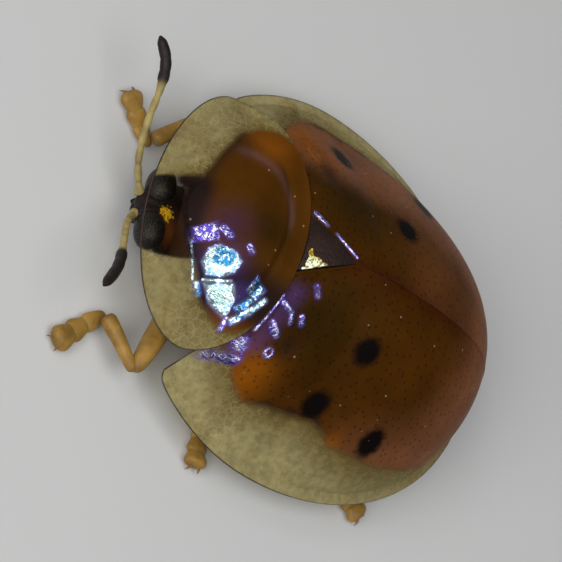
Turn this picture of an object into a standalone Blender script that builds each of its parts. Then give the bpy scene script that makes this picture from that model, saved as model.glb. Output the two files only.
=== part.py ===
"""A golden tortoise beetle at life size, walking on a level floor.

Metres, +Z up. The head points to -Y, the beetle's left side is +X, and the soles are at z = 0.
The body is laid out about its widest place, and one empty then centres the whole model in x and y.
"""

from math import acos, atan2, cos, hypot, pi, sin, tau

import bmesh
import bpy
from mathutils import Matrix, Vector

MM = 0.001

# Clearance between neighbouring pieces: a fine seam on a beetle this small
SEAM = 0.05 * MM

# Wing cases (elytra): one dome, parted along the middle
CASE_HALF_WIDTH = 2.80 * MM
CASE_CENTRE_Y = -0.24 * MM
CASE_FRONT_REACH = 2.85 * MM
CASE_REAR_REACH = 3.54 * MM
CASE_OUTLINE_POWER = 2.03
CASE_RIM_Z = 0.56 * MM
CASE_TOP_Z = 2.36 * MM
CASE_WALL = 0.50 * MM
CASE_RIM_WALL = 0.14 * MM
FLANGE_SHARE = 0.25
LENGTHWISE_PROFILE = (0.95, 3.2, 0.60, 4.0)
CROSSWISE_PROFILE = (0.90, 1.7, 1.10, 2.0)
PROFILE_BLEND = 0.60
SHOULDER_FALL = 0.33 * MM
SHOULDER_FALL_START_Y = 0.20 * MM
SHOULDER_FALL_REACH = 1.50 * MM

# The front edge of the wing cases, seen from above, about a pole on the seam
POLE_Y = 0.10 * MM
BASE_Y = -1.34 * MM
BASE_SWEEP = 0.55
BASE_SWEEP_POWER = 3.0
SHOULDER_ROUNDING = 14.0

# Shield over the head and front legs (pronotum)
SHIELD_HALF_WIDTH = 1.875 * MM
SHIELD_WIDEST_Y = -2.325 * MM
SHIELD_FRONT_REACH = 0.975 * MM
SHIELD_REAR_REACH = 0.905 * MM
SHIELD_FRONT_POWER = 0.90
SHIELD_REAR_POWER = 0.85
SHIELD_FRONT_Z = 0.90 * MM
SHIELD_SIDE_Z = 1.08 * MM
SHIELD_REAR_Z = 1.98 * MM
SHIELD_BULGE = 0.30 * MM
SHIELD_WALL = 0.50 * MM
SHIELD_RIM_WALL = 0.14 * MM

# Small triangular plate between the wing cases (scutellum)
SCUTELLUM_HALF_WIDTH = 0.41 * MM
SCUTELLUM_BASE_Y = -1.36 * MM
SCUTELLUM_TIP_Y = -0.60 * MM
SCUTELLUM_RISE = 0.04 * MM

# Trunk under the plates
TRUNK_HALF_WIDTH = 1.85 * MM
TRUNK_CENTRE_Y = -0.10 * MM
TRUNK_FRONT_REACH = 2.55 * MM
TRUNK_REAR_REACH = 2.65 * MM
TRUNK_PARTING_Y = 0.55 * MM
BELLY_Z = 0.32 * MM
BELLY_RISE = 0.16 * MM

# Head
HEAD_CENTRE = Vector((0.0, -2.86, 0.47)) * MM
HEAD_RADII = Vector((0.42, 0.34, 0.27)) * MM
MOUTH_CENTRE = Vector((0.0, -2.98, 0.36)) * MM
MOUTH_RADII = Vector((0.26, 0.24, 0.20)) * MM
EYE_CENTRE = Vector((0.33, -2.94, 0.59)) * MM
EYE_RADII = Vector((0.28, 0.21, 0.20)) * MM

# Feelers, with guide points from root to tip
FEELER_ROOT_RADIUS = 0.13 * MM
FEELER_RADIUS = 0.25 * MM
FEELER_TIP_RADIUS = 0.12 * MM
FEELER_JOINTS = 11
LEFT_FEELER = (
    (0.14, -3.14, 0.46), (0.35, -3.31, 0.60), (0.63, -3.41, 0.74),
    (0.95, -3.50, 0.91), (1.33, -3.63, 1.08), (1.74, -3.88, 1.24),
)
RIGHT_FEELER = (
    (-0.14, -3.14, 0.46), (-0.52, -3.41, 0.60), (-1.02, -3.53, 0.75),
    (-1.49, -3.58, 0.90), (-1.84, -3.67, 0.98), (-2.11, -3.88, 1.00),
)

# Legs: hip, knee, ankle and toe
THIGH_RADIUS = 0.25 * MM
SHIN_RADIUS = 0.22 * MM
FOOT_HALF_WIDTH = 0.21 * MM
FOOT_HALF_HEIGHT = 0.16 * MM
FOOT_LOBES = 3
LEGS = {
    "leg_front_left": ((0.55, -2.00, 0.50), (2.24, -2.48, 0.46), (1.60, -3.02, 0.26), (2.22, -3.58, 0.12)),
    "leg_front_right": ((-0.55, -2.00, 0.50), (-1.55, -2.62, 0.52), (-1.08, -3.02, 0.26), (-1.60, -3.48, 0.12)),
    "leg_middle_left": ((0.70, -0.70, 0.46), (1.72, -1.12, 0.46), (2.26, -0.88, 0.24), (2.82, -0.82, 0.12)),
    "leg_middle_right": ((-0.70, -0.70, 0.46), (-1.72, -1.12, 0.46), (-2.26, -0.88, 0.24), (-2.82, -0.74, 0.12)),
    "leg_hind_left": ((0.62, 0.30, 0.46), (1.42, 1.18, 0.46), (1.96, 1.74, 0.24), (2.24, 2.22, 0.12)),
    "leg_hind_right": ((-0.62, 0.30, 0.46), (-1.42, 1.18, 0.46), (-1.96, 1.74, 0.24), (-2.30, 2.16, 0.12)),
}

# The whole model's middle lies between the front feeler tip and the rear edge of the wing cases
MODEL_CENTRE_Y = -0.34 * MM


def clear_scene():
    for old in list(bpy.data.objects):
        bpy.data.objects.remove(old, do_unlink=True)


def new_collection(name, hidden=False):
    collection = bpy.data.collections.new(name)
    collection.hide_render = hidden
    bpy.context.scene.collection.children.link(collection)
    return collection


def finish(name, colour, roughness, metallic=0.0):
    material = bpy.data.materials.new(name)
    material.use_nodes = True
    shader = material.node_tree.nodes["Principled BSDF"]
    shader.inputs["Base Color"].default_value = (*colour, 1.0)
    shader.inputs["Roughness"].default_value = roughness
    shader.inputs["Metallic"].default_value = metallic
    return material


def add_mesh(name, bm, collection, material=None):
    """Puts a bmesh into a new smooth-shaded object."""
    mesh = bpy.data.meshes.new(name)
    bm.to_mesh(mesh)
    bm.free()
    mesh.shade_smooth()
    if material:
        mesh.materials.append(material)
    obj = bpy.data.objects.new(name, mesh)
    collection.objects.link(obj)
    return obj


def dome_radius(x, y):
    """How far out a place is on the wing cases: 0 at the centre and 1 on the rim."""
    forward = y < CASE_CENTRE_Y
    reach = CASE_FRONT_REACH if forward else CASE_REAR_REACH
    across = (abs(x) / CASE_HALF_WIDTH) ** CASE_OUTLINE_POWER
    along = (abs(y - CASE_CENTRE_Y) / reach) ** CASE_OUTLINE_POWER
    return (across + along) ** (1 / CASE_OUTLINE_POWER)


def profile(radius, shape):
    """A rounded crown that falls to a thin flange, from 1 at the centre to 0 on the rim."""
    crown_edge, crown_power, crown_root, flange_power = shape
    crown = (1 - min(radius / crown_edge, 1) ** crown_power) ** crown_root
    flange = 1 - min(radius, 1) ** flange_power
    return (1 - FLANGE_SHARE) * crown + FLANGE_SHARE * flange


def case_top(x, y):
    """Height of the wing cases' outer surface."""
    radius = dome_radius(x, y)
    reach = CASE_FRONT_REACH if y < CASE_CENTRE_Y else CASE_REAR_REACH
    across = (x / CASE_HALF_WIDTH) ** 2
    along = ((y - CASE_CENTRE_Y) / reach) ** 2
    lengthwise = (along / max(across + along, 1e-9)) ** PROFILE_BLEND
    height = lengthwise * profile(radius, LENGTHWISE_PROFILE)
    height += (1 - lengthwise) * profile(radius, CROSSWISE_PROFILE)
    ahead = max((SHOULDER_FALL_START_Y - y) / SHOULDER_FALL_REACH, 0)
    fall = SHOULDER_FALL * ahead**1.5 * (1 - min(radius, 1) ** 2)
    return CASE_RIM_Z + (CASE_TOP_Z - CASE_RIM_Z) * height - fall


def case_wall(x, y):
    """Wall of the wing cases: full over the back and thin at the rim."""
    return CASE_WALL + (CASE_RIM_WALL - CASE_WALL) * min(dome_radius(x, y), 1) ** 3


def case_edge(angle):
    """Distance from the pole to the wing case's edge, at an angle from straight ahead."""
    ahead = cos(angle)
    side = sin(angle)
    low = 0.0
    high = CASE_REAR_REACH
    for _ in range(40):
        middle = (low + high) / 2
        inside = dome_radius(middle * side, POLE_Y - middle * ahead) < 1
        low, high = (middle, high) if inside else (low, middle)
    if ahead <= 0.2:
        return low
    sweep = 1 + BASE_SWEEP * (side / ahead) ** BASE_SWEEP_POWER
    base = (POLE_Y - BASE_Y) / ahead * sweep
    rounded = (low**-SHOULDER_ROUNDING + base**-SHOULDER_ROUNDING) ** (-1 / SHOULDER_ROUNDING)
    notch_side = SCUTELLUM_HALF_WIDTH + SEAM
    notch_length = SCUTELLUM_TIP_Y + SEAM - BASE_Y
    turn = notch_side * ahead - notch_length * side
    if turn <= 0:
        return rounded
    return min(rounded, notch_side * (POLE_Y - SCUTELLUM_TIP_Y - SEAM) / turn)


def case_outline():
    """The left wing case from above: round the edge from the seam's front to its back, and home."""
    outer_steps = 62
    seam_steps = 10
    points = []
    for step in range(outer_steps + 1):
        angle = pi * step / outer_steps
        edge = case_edge(angle)
        points.append((max(edge * sin(angle), SEAM / 2), POLE_Y - edge * cos(angle)))
    front = points[0][1]
    back = points[-1][1]
    for step in range(1, seam_steps):
        points.append((SEAM / 2, back + (front - back) * step / seam_steps))
    return points


def shield_radius(x, y):
    """How far out a place is on the shield, and the share of that which is along its length."""
    ahead = y < SHIELD_WIDEST_Y
    reach = SHIELD_FRONT_REACH if ahead else SHIELD_REAR_REACH
    power = SHIELD_FRONT_POWER if ahead else SHIELD_REAR_POWER
    along = (abs(y - SHIELD_WIDEST_Y) / reach) ** (1 / power)
    radius = hypot(x / SHIELD_HALF_WIDTH, along)
    return radius, along / max(radius, 1e-9)


def shield_edge_z(share, ahead):
    """Height of the shield's edge, where share is 1 on the middle line and 0 at the side."""
    if ahead:
        return SHIELD_SIDE_Z + (SHIELD_FRONT_Z - SHIELD_SIDE_Z) * share**2
    return SHIELD_SIDE_Z + (SHIELD_REAR_Z - SHIELD_SIDE_Z) * share**1.2


def shield_slope_z(y):
    """The sloping plane through the shield's front and rear edges on the middle line."""
    front = SHIELD_WIDEST_Y - SHIELD_FRONT_REACH
    share = (y - front) / (SHIELD_FRONT_REACH + SHIELD_REAR_REACH)
    return SHIELD_FRONT_Z + (SHIELD_REAR_Z - SHIELD_FRONT_Z) * share


def shield_top(x, y):
    """Height of the shield's outer surface: a tilted plane, bent down to its edge and bulged."""
    ahead = y < SHIELD_WIDEST_Y
    radius, share = shield_radius(x, y)
    if ahead:
        edge_y = SHIELD_WIDEST_Y - SHIELD_FRONT_REACH * share**SHIELD_FRONT_POWER
    else:
        edge_y = SHIELD_WIDEST_Y + SHIELD_REAR_REACH * share**SHIELD_REAR_POWER
    drop = shield_edge_z(share, ahead) - shield_slope_z(edge_y)
    bulge = SHIELD_BULGE * max(1 - radius**2, 0) ** 1.5
    return shield_slope_z(y) + drop * radius**2 + bulge


def shield_wall(x, y):
    radius, _ = shield_radius(x, y)
    return SHIELD_WALL + (SHIELD_RIM_WALL - SHIELD_WALL) * min(radius, 1) ** 2


def shield_outline():
    """The shield from above: an arc ahead of its widest place and a fuller one behind."""
    steps = 64
    points = []
    for step in range(steps):
        angle = tau * step / steps
        along = abs(cos(angle))
        if cos(angle) > 0:
            y = SHIELD_WIDEST_Y - SHIELD_FRONT_REACH * along**SHIELD_FRONT_POWER
        else:
            y = SHIELD_WIDEST_Y + SHIELD_REAR_REACH * along**SHIELD_REAR_POWER
        points.append((SHIELD_HALF_WIDTH * sin(angle), y))
    return points


def scutellum_outline():
    """A triangle with its point to the rear, walked round with even steps."""
    corners = (
        Vector((-SCUTELLUM_HALF_WIDTH, SCUTELLUM_BASE_Y)),
        Vector((SCUTELLUM_HALF_WIDTH, SCUTELLUM_BASE_Y)),
        Vector((0.0, SCUTELLUM_TIP_Y)),
    )
    side_steps = 8
    points = []
    for corner, following in zip(corners, corners[1:] + corners[:1]):
        for step in range(side_steps):
            points.append(tuple(corner.lerp(following, step / side_steps)))
    return points


def trunk_roof(x, y):
    """The underside of whichever plates lie over a place, less the seam."""
    under_case = case_top(x, y) - case_wall(x, y)
    radius, _ = shield_radius(x, y)
    if radius > 1.1:
        return under_case - 2 * SEAM
    under_shield = shield_top(x, y) - shield_wall(x, y)
    if radius > 0.8:
        return min(under_case, under_shield) - 2 * SEAM
    return under_shield - 2 * SEAM


def trunk_radius(x, y):
    reach = TRUNK_FRONT_REACH if y < TRUNK_CENTRE_Y else TRUNK_REAR_REACH
    return hypot(x / TRUNK_HALF_WIDTH, (y - TRUNK_CENTRE_Y) / reach)


def belly(x, y):
    """Height of the trunk's underside, a shallow bowl."""
    return BELLY_Z + BELLY_RISE * min(trunk_radius(x, y), 1) ** 2


def trunk_outline(rear):
    """The front or rear part of the trunk from above: an oval cut straight at the parting line."""
    arc_steps = 32
    line_steps = 8
    cut_share = (TRUNK_PARTING_Y - TRUNK_CENTRE_Y + SEAM * rear) / TRUNK_REAR_REACH
    half_turn = acos(cut_share) if rear else pi - acos(cut_share)
    points = []
    for step in range(arc_steps):
        angle = half_turn * (1 - 2 * step / (arc_steps - 1)) * (1 if rear else -1)
        along = cos(angle) if rear else -cos(angle)
        reach = TRUNK_REAR_REACH if along > 0 else TRUNK_FRONT_REACH
        points.append((TRUNK_HALF_WIDTH * sin(angle), TRUNK_CENTRE_Y + reach * along))
    first = Vector(points[0])
    last = Vector(points[-1])
    for step in range(1, line_steps + 1):
        points.append(tuple(last.lerp(first, step / (line_steps + 1))))
    return points


def plate(name, outline, centre, top, bottom, rings, collection, material=None):
    """A curved plate: a sphere whose equator takes the outline and whose halves take two heights."""
    bm = bmesh.new()
    bmesh.ops.create_uvsphere(bm, u_segments=len(outline), v_segments=rings, radius=1.0)
    for vertex in bm.verts:
        upper = vertex.co.z
        turn = atan2(vertex.co.y, vertex.co.x) % tau / tau
        edge = outline[round(turn * len(outline)) % len(outline)]
        spread = hypot(vertex.co.x, vertex.co.y)
        x = centre[0] + (edge[0] - centre[0]) * spread
        y = centre[1] + (edge[1] - centre[1]) * spread
        if abs(upper) < 1e-4:
            vertex.co = (x, y, (top(x, y) + bottom(x, y)) / 2)
        elif upper > 0:
            vertex.co = (x, y, top(x, y))
        else:
            vertex.co = (x, y, bottom(x, y))
    return add_mesh(name, bm, collection, material)


def ball(name, centre, radii, collection, material=None, segments=20, rings=12):
    bm = bmesh.new()
    bmesh.ops.create_uvsphere(bm, u_segments=segments, v_segments=rings, radius=1.0)
    bmesh.ops.scale(bm, vec=radii, verts=bm.verts)
    bmesh.ops.translate(bm, vec=centre, verts=bm.verts)
    return add_mesh(name, bm, collection, material)


def limb(name, start, end, start_radius, end_radius, collection, flatten=1.0):
    """A tapered length with round ends, from one joint to the next."""
    bm = bmesh.new()
    bmesh.ops.create_uvsphere(bm, u_segments=10, v_segments=8, radius=1.0)
    start = Vector(start)
    along = Vector(end) - start
    side = along.cross(Vector((0, 0, 1))).normalized()
    lift = along.cross(side).normalized()
    for vertex in bm.verts:
        reach = vertex.co.z
        share = (reach + 1) / 2
        radius = start_radius + (end_radius - start_radius) * share
        girth = (max(1 - reach**4, 0) / max(1 - reach**2, 1e-6)) ** 0.5
        across = side * vertex.co.x + lift * vertex.co.y * flatten
        vertex.co = start + along * (0.5 + 0.58 * reach) + across * radius * girth
    return add_mesh(name, bm, collection)


def boolean(obj, operation, collection=None, other=None):
    """Applies one Boolean to an object's mesh."""
    modifier = obj.modifiers.new(operation.title(), "BOOLEAN")
    modifier.operation = operation
    modifier.solver = "EXACT"
    if collection:
        modifier.operand_type = "COLLECTION"
        modifier.collection = collection
    else:
        modifier.object = other
    bpy.context.view_layer.update()
    evaluated = obj.evaluated_get(bpy.context.evaluated_depsgraph_get())
    mesh = bpy.data.meshes.new_from_object(evaluated)
    obj.modifiers.clear()
    obj.data = mesh


def keep_largest(obj):
    """Keeps only the largest closed surface of a mesh."""
    bm = bmesh.new()
    bm.from_mesh(obj.data)
    unseen = set(bm.verts)
    groups = []
    while unseen:
        group = set()
        frontier = [unseen.pop()]
        while frontier:
            vertex = frontier.pop()
            group.add(vertex)
            for edge in vertex.link_edges:
                neighbour = edge.other_vert(vertex)
                if neighbour in unseen:
                    unseen.remove(neighbour)
                    frontier.append(neighbour)
        groups.append(group)
    largest = max(groups, key=len)
    loose = [vertex for vertex in bm.verts if vertex not in largest]
    bmesh.ops.delete(bm, geom=loose, context="VERTS")
    bm.to_mesh(obj.data)
    bm.free()


def fuse(pieces, name, collection, material):
    """Joins overlapping closed pieces into one node."""
    joined = pieces[0]
    joined.name = name
    operands = new_collection(name + "_pieces", hidden=True)
    for piece in pieces[1:]:
        collection.objects.unlink(piece)
        operands.objects.link(piece)
    boolean(joined, "UNION", collection=operands)
    for piece in list(operands.objects):
        bpy.data.objects.remove(piece, do_unlink=True)
    bpy.data.collections.remove(operands)
    keep_largest(joined)
    joined.data.materials.clear()
    joined.data.materials.append(material)
    joined.data.shade_smooth()
    return joined


def cut(obj, *cutters):
    for cutter in cutters:
        boolean(obj, "DIFFERENCE", other=cutter)
    keep_largest(obj)


def as_cutter(obj):
    """Hides a helper from the render and draws it as wires."""
    obj.hide_render = True
    obj.display_type = "WIRE"
    return obj


def mirrored(name, source, collection):
    """The right-hand copy of a left-hand piece."""
    copy = bpy.data.objects.new(name, source.data.copy())
    copy.data.transform(Matrix.Scale(-1, 4, Vector((1, 0, 0))))
    copy.data.flip_normals()
    collection.objects.link(copy)
    return copy


def build_wing_cases(collection, material):
    centre = (0.42 * CASE_HALF_WIDTH, POLE_Y)
    left = plate(
        "elytron_left", case_outline(), centre, case_top,
        lambda x, y: case_top(x, y) - case_wall(x, y), 16, collection, material,
    )
    mirrored("elytron_right", left, collection)


def build_shield(collection, material):
    plate(
        "pronotum", shield_outline(), (0.0, SHIELD_WIDEST_Y), shield_top,
        lambda x, y: shield_top(x, y) - shield_wall(x, y), 16, collection, material,
    )


def build_scutellum(collection, material):
    middle = (0.0, (2 * SCUTELLUM_BASE_Y + SCUTELLUM_TIP_Y) / 3)
    plate(
        "scutellum", scutellum_outline(), middle, lambda x, y: case_top(x, y) + SCUTELLUM_RISE,
        lambda x, y: case_top(x, y) - case_wall(x, y), 8, collection, material,
    )


def build_trunk(suffix, collection, margin=0.0, material=None):
    """Thorax and abdomen, or with a margin the room that the legs leave them."""
    halves = []
    for name, rear, centre_y in (("thorax", False, -1.0 * MM), ("abdomen", True, 1.4 * MM)):
        halves.append(
            plate(
                name + suffix, trunk_outline(rear), (0.0, centre_y), trunk_roof,
                lambda x, y: belly(x, y) - margin, 14, collection, material,
            )
        )
    return halves


def build_head(collection, cutters, head_finish, eye_finish):
    skull = ball("skull", HEAD_CENTRE, HEAD_RADII, collection)
    mouth = ball("mouth", MOUTH_CENTRE, MOUTH_RADII, collection, segments=16, rings=10)
    head = fuse([skull, mouth], "head", collection, head_finish)
    room = EYE_RADII + Vector((SEAM, SEAM, SEAM))
    for side, name in ((1, "eye_left"), (-1, "eye_right")):
        centre = Vector((EYE_CENTRE.x * side, EYE_CENTRE.y, EYE_CENTRE.z))
        ball(name, centre, EYE_RADII, collection, eye_finish)
        cut(head, as_cutter(ball(name + "_socket", centre, room, cutters)))
    return head


def feeler_points(guide):
    """A smooth run through a feeler's guide points, with three places for each joint."""
    places = [Vector(place) * MM for place in guide]
    steps = 3 * FEELER_JOINTS
    points = []
    for step in range(steps + 1):
        share = step / steps * (len(places) - 1)
        index = min(int(share), len(places) - 2)
        local = share - index
        before = places[max(index - 1, 0)]
        start = places[index]
        end = places[index + 1]
        after = places[min(index + 2, len(places) - 1)]
        pull = 2 * start + (end - before) * local
        bend = (2 * before - 5 * start + 4 * end - after) * local**2
        turn = (3 * start - before - 3 * end + after) * local**3
        points.append((pull + bend + turn) / 2)
    return points


def build_feeler(name, guide, collection, material):
    """A beaded feeler: a tube that narrows at each joint and towards both ends."""
    points = feeler_points(guide)
    curve = bpy.data.curves.new(name, "CURVE")
    curve.dimensions = "3D"
    curve.bevel_depth = 1.0 * MM
    curve.bevel_resolution = 2
    curve.use_fill_caps = True
    spline = curve.splines.new("POLY")
    spline.points.add(len(points) - 1)
    last = len(points) - 1
    for index, (point, place) in enumerate(zip(spline.points, points)):
        share = index / last
        radius = FEELER_ROOT_RADIUS + (FEELER_RADIUS - FEELER_ROOT_RADIUS) * min(share * 4, 1)
        radius += (FEELER_TIP_RADIUS - FEELER_RADIUS) * max(share - 0.7, 0) / 0.3
        waist = 0.88 if index % 3 == 0 else 1.0
        point.co = (*place, 1.0)
        point.radius = radius * waist / MM
    draft = bpy.data.objects.new(name + "_draft", curve)
    collection.objects.link(draft)
    bpy.context.view_layer.update()
    evaluated = draft.evaluated_get(bpy.context.evaluated_depsgraph_get())
    bm = bmesh.new()
    bm.from_mesh(bpy.data.meshes.new_from_object(evaluated))
    bpy.data.objects.remove(draft, do_unlink=True)
    bmesh.ops.remove_doubles(bm, verts=bm.verts, dist=0.001 * MM)
    bmesh.ops.recalc_face_normals(bm, faces=bm.faces)
    return add_mesh(name, bm, collection, material)


def build_leg(name, joints, collection, material):
    """Thigh, shin and a foot of three broad lobes, joined into one limb."""
    hip, knee, ankle, toe = (Vector(place) * MM for place in joints)
    pieces = [
        limb("thigh", hip, knee, THIGH_RADIUS, THIGH_RADIUS * 0.9, collection),
        limb("shin", knee, ankle, SHIN_RADIUS * 0.9, SHIN_RADIUS, collection),
    ]
    flatness = FOOT_HALF_HEIGHT / FOOT_HALF_WIDTH
    for lobe in range(FOOT_LOBES):
        start = ankle.lerp(toe, lobe / FOOT_LOBES)
        end = ankle.lerp(toe, (lobe + 1) / FOOT_LOBES)
        start.z = FOOT_HALF_HEIGHT * 0.8
        end.z = FOOT_HALF_HEIGHT * 0.8
        pieces.append(
            limb("lobe", start, end, FOOT_HALF_WIDTH * 0.8, FOOT_HALF_WIDTH, collection, flatness)
        )
    return fuse(pieces, name, collection, material)


def floor_cutter(collection):
    """A slab whose upper face is the level floor."""
    bm = bmesh.new()
    bmesh.ops.create_cube(bm, size=12 * MM)
    bmesh.ops.translate(bm, vec=(0, 0, -6 * MM), verts=bm.verts)
    return as_cutter(add_mesh("floor_level", bm, collection))


def main():
    clear_scene()
    parts = new_collection("tortoise_beetle")
    cutters = new_collection("cutters", hidden=True)
    case_finish = finish("case_amber", (0.42, 0.13, 0.03), 0.22)
    shield_finish = finish("shield_bronze", (0.24, 0.09, 0.04), 0.18)
    dark_finish = finish("trunk_dark", (0.06, 0.03, 0.02), 0.45)
    eye_finish = finish("eye_black", (0.012, 0.010, 0.014), 0.12)
    leg_finish = finish("leg_amber", (0.62, 0.36, 0.09), 0.35)
    feeler_finish = finish("feeler_straw", (0.55, 0.42, 0.16), 0.40)
    build_wing_cases(parts, case_finish)
    build_shield(parts, shield_finish)
    build_scutellum(parts, shield_finish)
    thorax, _ = build_trunk("", parts, material=dark_finish)
    head = build_head(parts, cutters, dark_finish, eye_finish)
    head_room = as_cutter(ball("head_room", HEAD_CENTRE, HEAD_RADII * 1.12, cutters))
    cut(thorax, head_room)
    trunk_room = [as_cutter(half) for half in build_trunk("_room", cutters, margin=SEAM)]
    floor = floor_cutter(cutters)
    for name, joints in LEGS.items():
        cut(build_leg(name, joints, parts, leg_finish), *trunk_room, floor)
    for name, guide in (("antenna_left", LEFT_FEELER), ("antenna_right", RIGHT_FEELER)):
        cut(build_feeler(name, guide, parts, feeler_finish), head_room)
    centre = bpy.data.objects.new("model_centre", None)
    parts.objects.link(centre)
    centre.location = (0, -MODEL_CENTRE_Y, 0)
    for part in parts.objects:
        if part is not centre:
            part.parent = centre


main()
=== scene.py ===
"""Looks of a golden tortoise beetle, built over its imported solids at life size."""

import bpy
import numpy as np
from mathutils import Matrix, Vector


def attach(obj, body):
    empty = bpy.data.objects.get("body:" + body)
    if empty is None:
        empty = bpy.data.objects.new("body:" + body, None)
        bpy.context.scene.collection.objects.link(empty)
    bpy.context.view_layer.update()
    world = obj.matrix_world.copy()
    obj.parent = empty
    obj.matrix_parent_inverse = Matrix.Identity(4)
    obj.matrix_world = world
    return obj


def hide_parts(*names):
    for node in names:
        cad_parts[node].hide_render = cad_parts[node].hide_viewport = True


bl_info = {
    "name": "Golden tortoise beetle",
    "version": (1, 0, 0),
    "blender": (4, 5, 0),
    "location": "3D View > Sidebar > Beetle",
    "description": "Builds the shells, limbs and finishes of a life-size tortoise beetle",
    "category": "Mesh",
}

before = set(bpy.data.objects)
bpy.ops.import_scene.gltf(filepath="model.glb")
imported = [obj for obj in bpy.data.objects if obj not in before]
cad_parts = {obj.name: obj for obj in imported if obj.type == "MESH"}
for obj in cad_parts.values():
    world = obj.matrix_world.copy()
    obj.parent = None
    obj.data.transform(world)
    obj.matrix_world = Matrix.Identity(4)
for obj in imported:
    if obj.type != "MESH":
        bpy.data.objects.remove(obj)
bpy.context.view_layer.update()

MM = 0.001

# The body is laid out about its widest place; the model's middle lies this far ahead of that
MODEL_CENTRE_Y = -0.34

# Wing cases, in millimetres
CASE_HALF_WIDTH = 2.80
CASE_CENTRE_Y = -0.24
CASE_FRONT_REACH = 2.85
CASE_REAR_REACH = 3.54
CASE_OUTLINE_POWER = 2.03
CASE_RIM_Z = 0.56
CASE_TOP_Z = 2.36
FLANGE_SHARE = 0.25
LENGTHWISE_PROFILE = (0.95, 3.2, 0.60, 4.0)
CROSSWISE_PROFILE = (0.90, 1.7, 1.10, 2.0)
PROFILE_BLEND = 0.60
SHOULDER_FALL = 0.33
SHOULDER_FALL_START_Y = 0.20
SHOULDER_FALL_REACH = 1.50
SHOULDER_FALL_POWER = 1.5
POLE_Y = 0.10
BASE_Y = -1.34
BASE_SWEEP = 0.72
BASE_SWEEP_POWER = 3.0
BASE_LEAST_FACING = 0.2
SHOULDER_ROUNDING = 14.0
SEAM = 0.016

# Shield, in millimetres
SHIELD_HALF_WIDTH = 1.875
SHIELD_WIDEST_Y = -2.325
SHIELD_FRONT_REACH = 0.975
SHIELD_REAR_REACH = 0.905
SHIELD_FRONT_POWER = 0.90
SHIELD_REAR_POWER = 0.85
SHIELD_FRONT_Z = 0.90
SHIELD_SIDE_Z = 1.08
SHIELD_REAR_Z = 1.98
SHIELD_BULGE = 0.30
SHIELD_BULGE_POWER = 1.5
SHIELD_REAR_RISE_POWER = 1.2
SHIELD_LIP = 0.055

# Scutellum and trunk, in millimetres
SCUTELLUM_HALF_WIDTH = 0.41
SCUTELLUM_BASE_Y = -1.36
SCUTELLUM_TIP_Y = -0.60
SCUTELLUM_RISE = 0.04
SCUTELLUM_REACH = 0.45
SCUTELLUM_CROWN = 1.3
TRUNK_HALF_WIDTH = 1.85
TRUNK_CENTRE_Y = -0.10
TRUNK_FRONT_REACH = 2.55
TRUNK_REAR_REACH = 2.65
BELLY_Z = 0.32
BELLY_RISE = 0.16
BELLY_RINGS = (0.62, 1.20, 1.60, 1.95, 2.28)
RING_REACH = 0.035
RING_DEPTH = 0.035
BREAST_RIDGE = 0.02
PLATE_ROOM = 0.5
TRUNK_SEAM = 0.1

# Shells: how their rows crowd towards the edge, and how much of the wall is gone there
SHELL_SPREAD_POWER = 0.9
SHELL_EDGE_THINNING = 0.55

# Head, eyes and mouthparts, in millimetres: centres, radii and a palp's path
HEAD_CENTRE = (0.0, -2.69, 0.48)
HEAD_RADII = (0.46, 0.49, 0.30)
EYE_CENTRE = (0.33, -2.94, 0.61)
EYE_RADII = (0.29, 0.21, 0.22)
LIP_CENTRE = (0.0, -3.03, 0.34)
LIP_RADII = (0.16, 0.09, 0.12)
PALP_PATH = ((0.10, -2.94, 0.34), (0.15, -3.01, 0.26), (0.10, -3.07, 0.21))
PALP_RADIUS = 0.05

# Where the dark disc of each wing case ends: turn from the rear in degrees, and share of the way out
DISC_EDGES = {
    "left": (
        (0, 0.98), (25, 0.966), (42, 0.914), (55, 0.857), (63, 0.823), (69, 0.793), (74, 0.773), (78, 0.731),
        (84, 0.700), (95, 0.725), (103, 0.754), (110, 0.798), (116, 0.798), (121, 0.784), (126, 0.768),
        (180, 0.768),
    ),
    "right": (
        (0, 0.98), (25, 0.966), (42, 0.914), (55, 0.870), (67, 0.850), (78, 0.860), (90, 0.885), (100, 0.885),
        (109, 0.870), (119, 0.820), (126, 0.785), (180, 0.770),
    ),
}
SHIELD_DISC_EDGE = (
    (0, 1.10), (42, 1.06), (55, 0.96), (63, 0.89), (70, 0.826), (84, 0.735), (100, 0.68), (117, 0.60),
    (133, 0.56), (148, 0.532), (162, 0.56), (180, 0.62),
)

# Dark spots on each wing case
SPOTS = {
    "left": ((0.98, 0.10), (1.76, -0.06), (1.82, 1.07)),
    "right": ((0.98, 0.28), (1.86, -0.55), (1.84, 1.02)),
}

# Soft patches and bumps of a wing case: the place of each and its reach
CASE_OLIVE = ((0.85, -0.70), 0.75)
CASE_SHOULDER_AMBER = ((1.84, -1.20), 0.36)
CASE_SIDE_AMBER = ((2.06, 0.54), 0.14)
# Painted shade: a dark blot over the shoulder hollow
CASE_PAINTED_HOLLOW_SHADE = ((1.35, -0.98), 0.17)
CASE_CORNER_FILM = ((1.54, -1.56), 0.13)
SHOULDER_HOLLOW = ((1.30, -0.98), 0.22)
BASE_HOLLOW = ((0.80, -0.72), 0.25)
SHOULDER_KNOB = ((1.72, -1.15), 0.26)

# Fine raised lines at the front of a wing case: start, end, reach and strength of each, and a ring
BASE_RIDGES = (
    ((0.80, -1.40), (1.32, -1.50), 0.030, 1.0), ((0.87, -1.36), (0.96, -1.19), 0.034, 1.0),
    ((0.96, -1.19), (1.08, -1.13), 0.034, 1.0), ((0.96, -1.03), (1.04, -0.98), 0.040, 1.0),
    ((1.16, -1.36), (1.28, -1.20), 0.045, 1.0),
)
SUTURE_RIDGES = (((0.30, -0.96), (0.09, -0.62), 0.026, 1.0), ((0.49, -1.30), (0.38, -1.12), 0.034, 1.0))
BASE_RING_CENTRE = (1.51, -1.17)
BASE_RING_RADIUS = 0.055
BASE_RING_REACH = 0.022

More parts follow.
